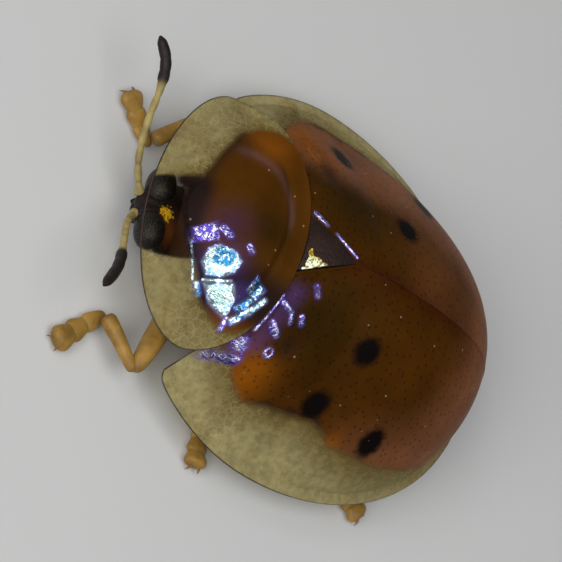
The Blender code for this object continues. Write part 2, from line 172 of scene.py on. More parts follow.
# Streaks of metallic film on the left wing case: start, end, reach and strength
CASE_STREAKS = (
    ((0.52, -1.03), (0.64, -0.96), 0.045, 0.62), ((1.77, -1.88), (1.71, -1.48), 0.075, 0.62),
    ((0.70, -1.25), (1.45, -1.40), 0.20, 0.20),
)

# Soft patches of the shield: the place of each and its reach
SHIELD_AMBER = ((1.22, -1.98), 0.30)
SHIELD_OLIVE = ((0.05, -1.95), 0.42)
# Painted sheen: a purple patch blended into the disc's colour where a sheen shows
SHIELD_PAINTED_SHEEN = ((0.18, -2.45), 0.26)
SHIELD_HAZES = (((0.72, -2.38), 0.36), ((1.10, -2.02), 0.30))
SHIELD_NECK = ((-0.31, -2.97), (-0.36, -2.62), 0.18)
SHIELD_FURROW = ((0.0, -1.62), (0.95, -1.80), 0.07)

# Painted purple sheen along an arc on the shield: an oval's centre, its reaches and its size
SHEEN_ARC_CENTRE = (-0.05, -2.36)
SHEEN_ARC_REACH = (1.0, 0.78)
SHEEN_ARC_SIZE = 0.92

# Clear window of the shield over the head: a squared oval's centre, its reaches and its power
WINDOW_CENTRE = (0.24, -2.97)
WINDOW_REACH = (0.62, 0.54)
WINDOW_POWER = 2.6

# Patches of metallic film on the shield: the colour of each and its corners, and cyan places in them
FILM_PATCHES = (
    ("violet", ((0.38, -2.83), (0.21, -2.60), (0.47, -2.51), (0.59, -2.78))),
    ("pale", ((0.50, -2.50), (0.54, -2.27), (0.64, -2.15), (0.82, -2.18), (0.92, -2.29), (0.98, -2.50),
              (0.81, -2.62), (0.60, -2.60))),
    ("pale", ((1.06, -2.51), (0.94, -2.13), (1.11, -2.01), (1.41, -1.99), (1.27, -2.29))),
    ("blue", ((0.74, -1.90), (0.86, -1.67), (1.06, -1.75), (0.97, -1.96))),
)
FILM_HEART = (0.66, -2.39)
FILM_GLINTS = (((0.93, -2.46), 0.07, 0.5), ((0.84, -1.82), 0.08, 0.7))

# Streaks of metallic film between the patches: start, end, reach, strength and colour
FILM_STREAKS = (
    ((0.99, -1.64), (1.19, -1.76), 0.045, 0.80, "pale"),
    ((1.19, -1.77), (1.38, -1.91), 0.060, 0.85, "glint"),
    ((1.06, -1.82), (1.20, -1.92), 0.070, 0.60, "glint"),
    ((1.38, -1.99), (1.53, -1.98), 0.035, 0.95, "violet"),
    ((1.10, -2.55), (1.22, -2.46), 0.040, 0.95, "blue"),
    ((0.59, -2.79), (0.84, -2.70), 0.016, 0.62, "pale"),
    ((0.84, -2.70), (1.07, -2.61), 0.016, 0.62, "pale"),
    ((0.42, -2.15), (0.48, -2.10), 0.050, 0.62, "violet"),
    ((0.28, -2.52), (0.36, -2.42), 0.060, 0.66, "violet"),
    ((1.03, -2.50), (0.93, -2.18), 0.024, 0.72, "pale"),
)

# Painted golden glints on the scutellum and the head, in the base colour and partly metallic, and their faint
# amber patches, by place and reach
SCUTELLUM_PAINTED_GLINT_CORNERS = ((0.41, -1.32), (0.21, -1.03), (0.13, -1.28))
SCUTELLUM_PAINTED_GLINT_STREAK = ((0.10, -1.30), (0.24, -1.26), 0.035)
SCUTELLUM_WARM = ((0.0, -1.2), 0.3)
HEAD_PAINTED_GLINT = ((0.06, -2.84), 0.10)
HEAD_WARM = ((0.27, -2.72), 0.16)

# Feelers and legs, in millimetres: the same guide points as the solids
FEELER_JOINTS = 11
LEFT_FEELER = (
    (0.14, -3.14, 0.46), (0.35, -3.31, 0.60), (0.63, -3.41, 0.74),
    (0.95, -3.50, 0.91), (1.33, -3.63, 1.08), (1.74, -3.88, 1.24),
)
RIGHT_FEELER = (
    (-0.14, -3.14, 0.46), (-0.52, -3.41, 0.60), (-1.02, -3.53, 0.75),
    (-1.49, -3.58, 0.90), (-1.84, -3.67, 0.98), (-2.11, -3.88, 1.00),
)
LEGS = {
    "leg_front_left": ((0.55, -2.0, 0.5), (2.24, -2.48, 0.46), (1.6, -3.02, 0.26), (2.22, -3.58, 0.12)),
    "leg_front_right": ((-0.55, -2.0, 0.5), (-1.55, -2.62, 0.52), (-1.08, -3.02, 0.26), (-1.6, -3.48, 0.12)),
    "leg_middle_left": ((0.7, -0.7, 0.46), (1.72, -1.12, 0.46), (2.26, -0.88, 0.24), (2.82, -0.82, 0.12)),
    "leg_middle_right": (
        (-0.7, -0.7, 0.46), (-1.72, -1.12, 0.46), (-2.26, -0.88, 0.24), (-2.82, -0.74, 0.12),
    ),
    "leg_hind_left": ((0.62, 0.3, 0.46), (1.42, 1.18, 0.46), (1.96, 1.74, 0.24), (2.24, 2.22, 0.12)),
    "leg_hind_right": ((-0.62, 0.3, 0.46), (-1.42, 1.18, 0.46), (-1.96, 1.74, 0.24), (-2.3, 2.16, 0.12)),
}

# Feet: each lobe's share of the half width, its height over its width, and the size of the claws
LOBE_SHARES = (0.72, 0.88, 1.0)
LOBE_FLATNESS = 0.62
CLAW_RADIUS = 0.034
CLAW_ROOT_Z = 0.12
CLAW_TIP_Z = 0.045

# Linear colours that belong to one finish
SUTURE_BROWN = (0.045, 0.010, 0.002)
PAINTED_SHEEN_LILAC = (0.16, 0.10, 0.12)
# Painted lilac sheen of the arc on the shield
INNER_MARGIN = (0.15, 0.095, 0.012)
DUST = (0.42, 0.30, 0.16)
RIM_BROWN = (0.05, 0.025, 0.015)
# Painted glint: bright gold in the head's base colour
PAINTED_HEAD_GLINT_GOLD = (1.00, 0.62, 0.03)
# Painted glint: golds in the scutellum's base colour, paler towards its left corner
SCUTELLUM_PAINTED_GLINT_GOLD = (0.75, 0.62, 0.08)
SCUTELLUM_PAINTED_GLINT_PALE = (0.90, 1.0, 0.72)
CASE_SPARK = (0.80, 0.70, 1.00)
SHIELD_SPARK = (0.90, 1.00, 0.98)
MARGIN_GLASS = (0.93, 0.88, 0.64)
WINDOW_GLASS = (0.95, 0.92, 0.86)
FACET_GROOVE = (0.010, 0.009, 0.010)
FACET_DOME = (0.034, 0.030, 0.031)
CARD_COOL = (0.66, 0.665, 0.67)
CARD_WARM = (0.71, 0.71, 0.705)
STUDIO_SKY = (0.92, 0.96, 1.0)
LAMP_WHITE = (1.0, 0.995, 0.98)
MARGIN_OPACITY = 0.54

# Lamps: name, place and width in millimetres, and power in watts
LAMPS = (
    ("overhead_lamp", (15.0, -3.0, 56.5), 50.0, 0.0128),
    ("side_lamp", (32.0, -66.0, 50.0), 62.0, 0.0430),
    ("front_lamp", (-14.0, -41.0, 42.0), 18.0, 0.0030),
)

# Floor, in metres
FLOOR_HALF_WIDTH = 0.6

# Camera: the point it looks at and the place it looks from, in millimetres, and its roll
CAMERA_AIM = Vector((-0.004, -0.268, 0.712))
CAMERA_EYE = Vector((24.351, -34.600, 44.561))
CAMERA_ROLL = 76.984
CAMERA_LENS = 280.99


def length_setting(name, about, default):
    """A size in metres that a user may change."""
    return bpy.props.FloatProperty(
        name=name, description=about, default=default * MM, min=0.0, precision=6, subtype="DISTANCE",
        unit="LENGTH",
    )


def colour_setting(name, about, default):
    """A linear colour that a user may change."""
    return bpy.props.FloatVectorProperty(
        name=name, description=about, default=default, min=0.0, max=1.0, size=3, subtype="COLOR"
    )


class BeetleSizes(bpy.types.PropertyGroup):
    """Sizes that the panel shows"""

    shell_wall: length_setting("Shell wall", "Thickness of the shells over the back", 0.07)
    rim_bead: length_setting("Rim bead", "Radius of the dark line along the shells' edges", 0.011)
    spot_radius: length_setting("Spot radius", "Radius of the dark spots on the wing cases", 0.165)
    puncture_spacing: length_setting("Puncture spacing", "Distance between the rows of punctures", 0.150)
    feeler_radius: length_setting("Feeler radius", "Radius of a feeler before its dark club", 0.052)
    club_radius: length_setting("Club radius", "Radius of a feeler's dark club", 0.080)
    thigh_radius: length_setting("Thigh radius", "Greatest radius of a thigh", 0.165)
    shin_radius: length_setting("Shin radius", "Greatest radius of a shin", 0.125)
    foot_half_width: length_setting("Foot half width", "Half the width of a foot's widest lobe", 0.19)


class BeetleColours(bpy.types.PropertyGroup):
    """Colours that the panel shows"""

    margin: colour_setting("Clear margin", "Tint of the clear margins of the shells", (0.46, 0.40, 0.20))
    amber: colour_setting("Amber", "Bright orange at the shoulders of the wing cases", (0.25, 0.072, 0.003))
    brown: colour_setting("Brown", "Middle of the wing cases", (0.068, 0.023, 0.002))
    olive: colour_setting("Olive", "Darkest part of the wing cases by the shoulders", (0.028, 0.013, 0.0015))
    rose: colour_setting("Rose", "Reddish rear of the wing cases", (0.250, 0.095, 0.042))
    bronze: colour_setting("Bronze", "Disc of the shield", (0.078, 0.028, 0.003))
    dark: colour_setting("Dark", "Head, trunk, spots and club", (0.014, 0.009, 0.008))
    straw: colour_setting("Straw", "Feelers before the club", (0.34, 0.27, 0.10))
    leg: colour_setting("Leg", "Legs and feet", (0.34, 0.193, 0.040))
    glint: colour_setting("Glint", "Cyan metallic film on the shield", (0.030, 0.230, 0.480))
    blue: colour_setting("Blue", "Blue metallic film on the shield", (0.040, 0.280, 0.700))
    violet: colour_setting("Violet", "Violet metallic film", (0.150, 0.090, 0.560))
    pale: colour_setting("Pale", "Brightest metallic film on the shield", (0.420, 0.680, 0.680))
    # Painted sheen: purple blended into the colour of the shield's disc
    painted_sheen: colour_setting("Dusk", "Faint purple sheen of the shield", (0.050, 0.018, 0.040))
    # Dark specks that break up the painted golden glints of the head and scutellum
    gold: colour_setting("Gold", "Dark specks in the golden film", (0.260, 0.130, 0.010))


# Shapes of the shells


def case_reach(y):
    """How far the wing cases reach from their centre, ahead of it or behind it."""
    return np.where(y < CASE_CENTRE_Y, CASE_FRONT_REACH, CASE_REAR_REACH)


def dome_radius(x, y):
    """How far out a place is on the wing cases: the power mean of |x| and |y| over their reaches."""
    across = (np.abs(x) / CASE_HALF_WIDTH) ** CASE_OUTLINE_POWER
    along = (np.abs(y - CASE_CENTRE_Y) / case_reach(y)) ** CASE_OUTLINE_POWER
    return (across + along) ** (1 / CASE_OUTLINE_POWER)


def profile(radius, shape):
    """A rounded crown, (1 - (r / e)^p)^q, and a flange, 1 - r^m, added in fixed shares."""
    crown_edge, crown_power, crown_root, flange_power = shape
    crown = (1 - np.minimum(radius / crown_edge, 1) ** crown_power) ** crown_root
    flange = 1 - np.minimum(radius, 1) ** flange_power
    return (1 - FLANGE_SHARE) * crown + FLANGE_SHARE * flange


def case_top(x, y):
    """Wing case height: a blend of the lengthwise and crosswise profiles, less the fall at the shoulders."""
    radius = dome_radius(x, y)
    across = (x / CASE_HALF_WIDTH) ** 2
    along = ((y - CASE_CENTRE_Y) / case_reach(y)) ** 2
    lengthwise = (along / np.maximum(across + along, 1e-9)) ** PROFILE_BLEND
    height = lengthwise * profile(radius, LENGTHWISE_PROFILE)
    height = height + (1 - lengthwise) * profile(radius, CROSSWISE_PROFILE)
    ahead = np.maximum((SHOULDER_FALL_START_Y - y) / SHOULDER_FALL_REACH, 0)
    fall = SHOULDER_FALL * ahead**SHOULDER_FALL_POWER * (1 - np.minimum(radius, 1) ** 2)
    return CASE_RIM_Z + (CASE_TOP_Z - CASE_RIM_Z) * height - fall


def case_edge(angle):
    """Distance from the pole to the edge: the rim's, rounded into the base's and cut by the notch."""
    ahead = np.cos(angle)
    side = np.sin(angle)
    low = np.zeros_like(angle)
    high = np.full_like(angle, CASE_REAR_REACH)
    for _ in range(40):
        middle = (low + high) / 2
        inside = dome_radius(middle * side, POLE_Y - middle * ahead) < 1
        low = np.where(inside, middle, low)
        high = np.where(inside, high, middle)
    facing = np.maximum(ahead, BASE_LEAST_FACING)
    sweep = 1 + BASE_SWEEP * (side / facing) ** BASE_SWEEP_POWER
    base = (POLE_Y - BASE_Y) / facing * sweep
    rounded = (low**-SHOULDER_ROUNDING + base**-SHOULDER_ROUNDING) ** (-1 / SHOULDER_ROUNDING)
    notch_side = SCUTELLUM_HALF_WIDTH + SEAM
    notch_length = SCUTELLUM_TIP_Y + SEAM - BASE_Y
    turn = np.maximum(notch_side * ahead - notch_length * side, 1e-6)
    notch = notch_side * (POLE_Y - SCUTELLUM_TIP_Y - SEAM) / turn
    return np.where(ahead <= BASE_LEAST_FACING, low, np.minimum(rounded, notch))


def case_outline():
    """The left wing case from above: round its edge from the front of the seam to its back, and home."""
    angle = np.pi * np.linspace(0, 1, 360)
    edge = case_edge(angle)
    x = np.maximum(edge * np.sin(angle), SEAM / 2)
    y = POLE_Y - edge * np.cos(angle)
    back = np.linspace(y[-1], y[0], 72)[1:-1]
    return np.append(x, np.full_like(back, SEAM / 2)), np.append(y, back)


def shield_radius(x, y):
    """How far out a place is on the shield, and the share of that which lies along its length."""
    ahead = y < SHIELD_WIDEST_Y
    reach = np.where(ahead, SHIELD_FRONT_REACH, SHIELD_REAR_REACH)
    power = np.where(ahead, SHIELD_FRONT_POWER, SHIELD_REAR_POWER)
    along = (np.abs(y - SHIELD_WIDEST_Y) / reach) ** (1 / power)
    radius = np.hypot(x / SHIELD_HALF_WIDTH, along)
    return radius, along / np.maximum(radius, 1e-9)


def shield_slope_z(y):
    """The sloping plane through the shield's front and rear edges on the middle line."""
    share = (y - SHIELD_WIDEST_Y + SHIELD_FRONT_REACH) / (SHIELD_FRONT_REACH + SHIELD_REAR_REACH)
    return SHIELD_FRONT_Z + (SHIELD_REAR_Z - SHIELD_FRONT_Z) * share


def shield_top(x, y):
    """Shield height: the sloping plane, bent to the edge by the radius squared, and bulged."""
    ahead = y < SHIELD_WIDEST_Y
    radius, share = shield_radius(x, y)
    front_y = SHIELD_WIDEST_Y - SHIELD_FRONT_REACH * share**SHIELD_FRONT_POWER
    rear_y = SHIELD_WIDEST_Y + SHIELD_REAR_REACH * share**SHIELD_REAR_POWER
    edge_y = np.where(ahead, front_y, rear_y)
    front_z = SHIELD_SIDE_Z + (SHIELD_FRONT_Z - SHIELD_SIDE_Z) * share**2
    rear_z = SHIELD_SIDE_Z + (SHIELD_REAR_Z - SHIELD_SIDE_Z) * share**SHIELD_REAR_RISE_POWER
    drop = np.where(ahead, front_z, rear_z) - shield_slope_z(edge_y)
    bulge = SHIELD_BULGE * np.maximum(1 - radius**2, 0) ** SHIELD_BULGE_POWER
    return shield_slope_z(y) + drop * radius**2 + bulge


def shield_outline(steps=430):
    """The shield from above: two half ovals of different powers, with a thin lip over the wing cases."""
    angle = 2 * np.pi * np.arange(steps) / steps
    along = np.abs(np.cos(angle))
    front = SHIELD_WIDEST_Y - SHIELD_FRONT_REACH * along**SHIELD_FRONT_POWER
    rear = SHIELD_WIDEST_Y + SHIELD_REAR_REACH * along**SHIELD_REAR_POWER + SHIELD_LIP * along**2
    return SHIELD_HALF_WIDTH * np.sin(angle), np.where(np.cos(angle) > 0, front, rear)


def trunk_radius(x, y):
    """How far out a place is on the trunk's oval."""
    reach = np.where(y < TRUNK_CENTRE_Y, TRUNK_FRONT_REACH, TRUNK_REAR_REACH)
    return np.hypot(x / TRUNK_HALF_WIDTH, (y - TRUNK_CENTRE_Y) / reach)


# Meshes


def to_row(points):
    """Body millimetres to the frame's metres."""
    moved = np.array(points, float)
    moved[..., 1] -= MODEL_CENTRE_Y
    return moved * MM


def grid_faces(rows, columns, wrap_rows=False):
    """Quads between neighbouring rows of a grid whose columns close on themselves."""
    last = rows if wrap_rows else rows - 1
    row, column = np.meshgrid(np.arange(last), np.arange(columns), indexing="ij")
    beside = (column + 1) % columns
    start = row * columns
    above = (row + 1) % rows * columns
    return np.stack([start + column, start + beside, above + beside, above + column], -1).reshape(-1, 4)


def outward(points, quads, fans):
    """Turns the faces round if the volume they enclose, a sum of tetrahedra, comes out negative."""
    triangles = np.concatenate([quads[:, :3], quads[:, (0, 2, 3)], fans])
    a, b, c = (points[triangles[:, i]] for i in range(3))
    if np.einsum("ij,ij->i", a, np.cross(b, c)).sum() < 0:
        return quads[:, ::-1], fans[:, ::-1]
    return quads, fans


def piece_points(grid, poles):
    """The points of a piece, in the order of its vertices."""
    return np.concatenate([grid.reshape(-1, 3), np.array(poles, float)])


def add_piece(name, grid, poles=None, wrap_rows=False, marks=None):
    """A closed smooth piece from rows of points, with a pole at each end or its rows joined in a ring."""
    rows, columns = grid.shape[:2]
    points = grid.reshape(-1, 3)
    quads = grid_faces(rows, columns, wrap_rows)
    fans = np.zeros((0, 3), int)
    if poles is not None:
        points = piece_points(grid, poles)
        column = np.arange(columns)
        beside = (column + 1) % columns
        first = np.stack([np.full(columns, rows * columns), beside, column], -1)
        end = (rows - 1) * columns
        last = np.stack([np.full(columns, rows * columns + 1), end + column, end + beside], -1)
        fans = np.concatenate([first, last])
    quads, fans = outward(points - points.mean(0), quads, fans)
    mesh = bpy.data.meshes.new(name)
    mesh.from_pydata(to_row(points).tolist(), [], quads.tolist() + fans.tolist())
    mesh.shade_smooth()
    for mark, values in (marks or {}).items():
        values = np.asarray(values, np.float32)
        if values.ndim == 2:
            colours = np.concatenate([values, np.ones((len(values), 1), np.float32)], 1)
            layer = mesh.attributes.new(mark, "FLOAT_COLOR", "POINT")
            layer.data.foreach_set("color", colours.ravel())
        else:
            layer = mesh.attributes.new(mark, "FLOAT", "POINT")
            layer.data.foreach_set("value", values)
    piece = bpy.data.objects.new(name, mesh)
    bpy.context.scene.collection.objects.link(piece)
    return piece


def dress(piece, finish, slot, *nodes):
    """Gives a piece its finish and its place on the body, and hides the solids it stands for; the slot is not
    used.
    """
    piece.data.materials.append(finish)
    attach(piece, "root")
    if nodes:
        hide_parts(*nodes)
    return piece


def shell_rows(outline, centre, top, wall, rows=165, under_rows=24):
    """Grid rows of a thin shell: out over its top from the centre to a rounded edge, and back beneath."""
    edge_x, edge_y = outline
    out = np.sin(np.linspace(0, np.pi / 2, rows + 1)[1:]) ** SHELL_SPREAD_POWER
    back = np.sin(np.linspace(np.pi / 2, 0, under_rows + 1)[:-1]) ** SHELL_SPREAD_POWER
    spread = np.concatenate([out, [1.0], back])[:, None]
    x = centre[0] + (edge_x - centre[0]) * spread
    y = centre[1] + (edge_y - centre[1]) * spread
    under = np.concatenate([np.zeros(rows), [0.5], np.ones(under_rows)])[:, None]
    thin = wall * (1 - SHELL_EDGE_THINNING * spread**4)
    z = top(x, y) - under * thin
    grid = np.stack([x, y, z], -1)
    middle = float(top(np.array(centre[0]), np.array(centre[1])))
    return grid, np.array(((*centre, middle), (*centre, middle - wall)))


def tube_rows(path, half_width, half_height, up=(0.0, 0.0, 1.0), sides=24):
    """Rings of an ellipse carried along a path, each square to the path and with its height nearest to up."""
    along = np.gradient(path, axis=0)
    along /= np.linalg.norm(along, axis=1)[:, None]
    side = np.cross(along, np.array(up, float))
    side /= np.linalg.norm(side, axis=1)[:, None]
    lift = np.cross(side, along)
    turn = 2 * np.pi * np.arange(sides) / sides
    across = np.cos(turn)[None, :, None] * side[:, None] * half_width[:, None, None]
    rise = np.sin(turn)[None, :, None] * lift[:, None] * half_height[:, None, None]
    return path[:, None] + across + rise


def smooth_path(guide, steps):
    """A Catmull-Rom run through guide points, as whole arrays."""
    places = np.array(guide, float)
    padded = np.concatenate([places[:1], places, places[-1:]])
    share = np.linspace(0, len(places) - 1, steps)
    index = np.minimum(share.astype(int), len(places) - 2)
    local = (share - index)[:, None]
    before, start, end, after = (padded[index + i] for i in range(4))
    pull = 2 * start + (end - before) * local
    bend = (2 * before - 5 * start + 4 * end - after) * local**2
    turn = (3 * start - before - 3 * end + after) * local**3
    return (pull + bend + turn) / 2


def smoothstep(low, high, value):
    """0 below low, 1 above high, and a smooth S between them."""
    share = np.clip((value - low) / (high - low), 0, 1)
    return share * share * (3 - 2 * share)


def blot(x, y, place, reach):
    """A soft round patch, 1 at its middle and falling as a bell curve of the distance over the reach."""
    return np.exp(-((x - place[0]) ** 2 + (y - place[1]) ** 2) / reach**2)


def stroke(x, y, start, end, reach):
    """A soft line, a bell curve of the distance to a straight length."""
    dx = end[0] - start[0]
    dy = end[1] - start[1]
    share = np.clip(((x - start[0]) * dx + (y - start[1]) * dy) / (dx * dx + dy * dy), 0, 1)
    return np.exp(-((x - start[0] - share * dx) ** 2 + (y - start[1] - share * dy) ** 2) / reach**2)


def strokes(x, y, lines):
    """The strongest of several soft lines, each a start, an end, a reach and a strength."""
    each = [strength * stroke(x, y, start, end, reach) for start, end, reach, strength in lines]
    return np.max(each, axis=0)


def within(x, y, corners):
    """How far inside a convex outline a place is: the least of its distances to the sides."""
    start = np.array(corners)
    run = np.roll(start, -1, 0) - start
    run /= np.linalg.norm(run, axis=1)[:, None]
    middle = start.mean(0)
    turn = np.sign(run[:, 0] * (middle[1] - start[:, 1]) - run[:, 1] * (middle[0] - start[:, 0]))
    away = run[:, 0] * (y[:, None] - start[:, 1]) - run[:, 1] * (x[:, None] - start[:, 0])
    return (away * turn).min(1)


def one_colour(colour, count):
    """The same colour for each of a number of points."""
    return np.tile(np.array(colour), (count, 1))


def blend(base, colour, share):
    """Mixes an array of colours towards one colour, by a share for each point."""
    return base + (np.array(colour)[None] - base) * share[:, None]


# Finishes


def add_node(tree, kind, inputs=None, **settings):
    """Adds a shader node, sets it, and feeds its inputs with values or with other nodes' outputs."""
    node = tree.nodes.new("ShaderNode" + kind)
    for key, value in settings.items():
        setattr(node, key, value)
    for key, value in (inputs or {}).items():
        if isinstance(value, bpy.types.NodeSocket):
            tree.links.new(value, node.inputs[key])
        else:
            node.inputs[key].default_value = value
    return node


def mix(tree, share, a, b, blend_type="MIX"):
    """Mixes two colours."""
    node = add_node(tree, "Mix", {0: share, 6: a, 7: b}, data_type="RGBA", blend_type=blend_type)
    return node.outputs[2]


def maths(tree, operation, *values):
    """One sum, product or other operation on numbers."""
    return add_node(tree, "Math", dict(enumerate(values)), operation=operation).outputs[0]


def ramp(tree, value, low, high, bottom=0.0, top=1.0):
    """Maps a value from low..high to bottom..top with a smooth S."""
    inputs = {"Value": value, "From Min": low, "From Max": high, "To Min": bottom, "To Max": top}
    return add_node(tree, "MapRange", inputs, interpolation_type="SMOOTHSTEP").outputs[0]


def noise(tree, where, feature, detail=3.0, roughness=0.55):
    """Noise whose blobs are about feature millimetres across."""
    inputs = {"Vector": where, "Scale": 0.5 / (feature * MM), "Detail": detail, "Roughness": roughness}
    return add_node(tree, "TexNoise", inputs).outputs["Fac"]


def cells(tree, where, feature, kind="F1", randomness=1.0):
    """Distances in a pattern of cells about feature millimetres across, as a share of a cell."""
    inputs = {"Vector": where, "Scale": 1.0 / (feature * MM), "Randomness": randomness}
    return add_node(tree, "TexVoronoi", inputs, feature=kind).outputs["Distance"]


def mark(tree, name, output="Fac"):
    """A piece's own attribute."""
    return add_node(tree, "Attribute", attribute_name=name).outputs[output]


def rgba(colour, factor=1.0):
    """A colour made darker or lighter by a factor, with full opacity."""
    return (*(min(channel * factor, 1.0) for channel in colour), 1.0)


def grey(tree, value):
    """A grey of one value, to multiply a colour by."""
    return add_node(tree, "CombineColor", {0: value, 1: value, 2: value}).outputs[0]


def relief(tree, strength, depth, height):
    """Bump of a depth in millimetres."""
    inputs = {"Strength": strength, "Distance": depth * MM, "Height": height}
    return add_node(tree, "Bump", inputs).outputs[0]


def new_finish(name):
    """An empty material with its Principled shader and the Object coordinates."""
    material = bpy.data.materials.new(name)
    material.use_nodes = True
    tree = material.node_tree
    shader = tree.nodes["Principled BSDF"]
    where = add_node(tree, "TexCoord").outputs["Object"]
    return material, tree, shader, where


def shell_finish(name, colours, puncture_share, spark):
    """Cuticle: a clear crackled margin, an opaque disc with punctures and spots, and a torn metallic film."""
    material, tree, shader, where = new_finish(name)
    fine = noise(tree, where, 0.05)
    broad = noise(tree, where, 0.5)
    grain = noise(tree, where, 0.022, 2.0)
    bent = wander(tree, where)
    place = maths(tree, "ADD", mark(tree, "cover"), maths(tree, "MULTIPLY_ADD", broad, 0.16, -0.08))
    cover = ramp(tree, place, -0.055, 0.075)
    veins = ramp(tree, cells(tree, bent, 0.11, "DISTANCE_TO_EDGE"), 0.0, 0.085, 1.0, 0.0)
    vein_places = maths(tree, "MULTIPLY", mark(tree, "veins"), ramp(tree, broad, 0.35, 0.6))
    veins = maths(tree, "MULTIPLY", veins, vein_places)
    pit = punctures(tree, cover, puncture_share)

    margin = margin_colour(tree, where, colours, fine, place, veins)
    base = mix(tree, cover, margin, disc_colour(tree, colours, broad, fine, pit))
    dust = ramp(tree, cells(tree, where, 0.26), 0.045, 0.075, 0.55, 0.0)
    base = mix(tree, dust, base, rgba(DUST))
    share, film_colour = torn_film(tree, where, bent, grain, fine, spark)
    base = mix(tree, share, base, film_colour)
    height = maths(tree, "MULTIPLY_ADD", pit, -0.5, maths(tree, "MULTIPLY", veins, 0.3))
    height = maths(tree, "MULTIPLY_ADD", grain, maths(tree, "MULTIPLY_ADD", share, 1.2, 0.10), height)
    tree.links.new(base, shader.inputs["Base Color"])
    tree.links.new(share, shader.inputs["Metallic"])
    tree.links.new(relief(tree, 0.55, 0.012, height), shader.inputs["Normal"])
    tree.links.new(ramp(tree, share, 0.0, 1.0, 0.42, 0.27), shader.inputs["Roughness"])
    shader.inputs["Specular IOR Level"].default_value = 0.015
    shader.inputs["Subsurface Weight"].default_value = 0.12
    shader.inputs["Subsurface Scale"].default_value = 0.20 * MM

    glass = add_node(tree, "BsdfTransparent", {"Color": rgba(MARGIN_GLASS)}).outputs[0]
    window = add_node(tree, "BsdfTransparent", {"Color": rgba(WINDOW_GLASS)}).outputs[0]
    clear = add_node(tree, "MixShader", {0: mark(tree, "clear"), 1: glass, 2: window}).outputs[0]
    opacity = cuticle_opacity(tree, cover, veins, fine)
    cuticle = add_node(tree, "MixShader", {0: opacity, 1: clear, 2: shader.outputs[0]}).outputs[0]
    tree.links.new(cuticle, tree.nodes["Material Output"].inputs["Surface"])
    return material


def wander(tree, where):
    """Coordinates pushed about by up to 0.09 mm, so that cells drawn on them have bent sides."""
    inputs = {"Vector": where, "Scale": 0.5 / (0.10 * MM), "Detail": 2.0}
    push = add_node(tree, "TexNoise", inputs).outputs["Color"]
    reach = (0.09 * MM, 0.09 * MM, 0.09 * MM)
    push = add_node(tree, "VectorMath", {0: push, 1: reach}, operation="MULTIPLY").outputs[0]
    return add_node(tree, "VectorMath", {0: where, 1: push}, operation="ADD").outputs[0]


def margin_colour(tree, where, colours, fine, place, veins):
    """Mottled clear margin, browner near the disc, with paler veins, and dark over the head."""
    mottle = maths(tree, "MULTIPLY_ADD", noise(tree, where, 0.11), 0.6, maths(tree, "MULTIPLY", fine, 0.4))
    margin = mix(tree, ramp(tree, mottle, 0.40, 0.60), rgba(colours.margin, 0.76), rgba(colours.margin))
    inner = mix(tree, 0.72, margin, rgba(INNER_MARGIN))
    margin = mix(tree, ramp(tree, place, -0.42, 0.02), margin, inner)
    margin = mix(tree, maths(tree, "MULTIPLY", veins, 0.24), margin, rgba(colours.margin, 1.5))
    return mix(tree, mark(tree, "clear"), margin, rgba(colours.dark))


def disc_colour(tree, colours, broad, fine, pit):
    """The tint mark, unevenly shaded, with dark punctures and spots."""
    shade = grey(tree, ramp(tree, broad, 0.3, 0.7, 0.78, 1.22))
    disc = mix(tree, 1.0, mark(tree, "tint", "Color"), shade, "MULTIPLY")
    disc = mix(tree, maths(tree, "MULTIPLY", pit, 0.50), disc, rgba(colours.dark, 0.5))
    rough_edge = maths(tree, "MULTIPLY_ADD", fine, 0.10, -0.05)
    spot = ramp(tree, maths(tree, "ADD", mark(tree, "spot"), rough_edge), -0.09, 0.05)
    return mix(tree, spot, disc, rgba(colours.dark, 0.35))


def cuticle_opacity(tree, cover, veins, fine):
    """Opaque over the disc, veiled over the margin, and clear where the head lies beneath."""
    veil = maths(tree, "MULTIPLY_ADD", fine, 0.50, MARGIN_OPACITY - 0.25)
    veil = maths(tree, "MULTIPLY_ADD", veins, 0.08, veil)
    veil = maths(tree, "MULTIPLY", veil, maths(tree, "SUBTRACT", 1.0, mark(tree, "clear")))
    return maths(tree, "MAXIMUM", cover, veil)


def punctures(tree, cover, puncture_share):
    """Small pits in wandering rows over the disc."""
    cell = {"Vector": mark(tree, "rows", "Vector"), "Scale": 1.0, "Randomness": 0.8}
    distance = add_node(tree, "TexVoronoi", cell, voronoi_dimensions="2D").outputs["Distance"]
    pit = maths(tree, "MULTIPLY", ramp(tree, distance, 0.07, 0.19, 1.0, 0.0), cover)
    return maths(tree, "MULTIPLY", pit, puncture_share)


def torn_film(tree, where, bent, grain, fine, spark):
    """Share and colour of the metallic film: ragged at its edges, with pale crinkles and sparks."""
    film = mark(tree, "film")
    flake = noise(tree, where, 0.085, 2.0)
    torn = maths(tree, "MULTIPLY_ADD", grain, 1.1, maths(tree, "MULTIPLY_ADD", flake, 2.0, -1.55))
    torn = maths(tree, "MULTIPLY", torn, ramp(tree, film, 0.05, 0.35))
    share = ramp(tree, maths(tree, "ADD", film, torn), 0.36, 0.58)
    share = maths(tree, "MAXIMUM", share, ramp(tree, film, 0.03, 0.40, 0.0, 0.30))
    crinkle = ramp(tree, cells(tree, bent, 0.070, "DISTANCE_TO_EDGE"), 0.02, 0.13, 1.0, 0.0)
    crinkle = maths(tree, "MULTIPLY", crinkle, ramp(tree, fine, 0.42, 0.56))
    sparks = ramp(tree, noise(tree, where, 0.035, 1.0), 0.54, 0.64)
    strong = ramp(tree, film, 0.25, 0.55, 0.0, 0.85)
    bright = maths(tree, "MULTIPLY", maths(tree, "MAXIMUM", crinkle, sparks), strong)
    return share, mix(tree, bright, mark(tree, "film_tint", "Color"), rgba(spark))


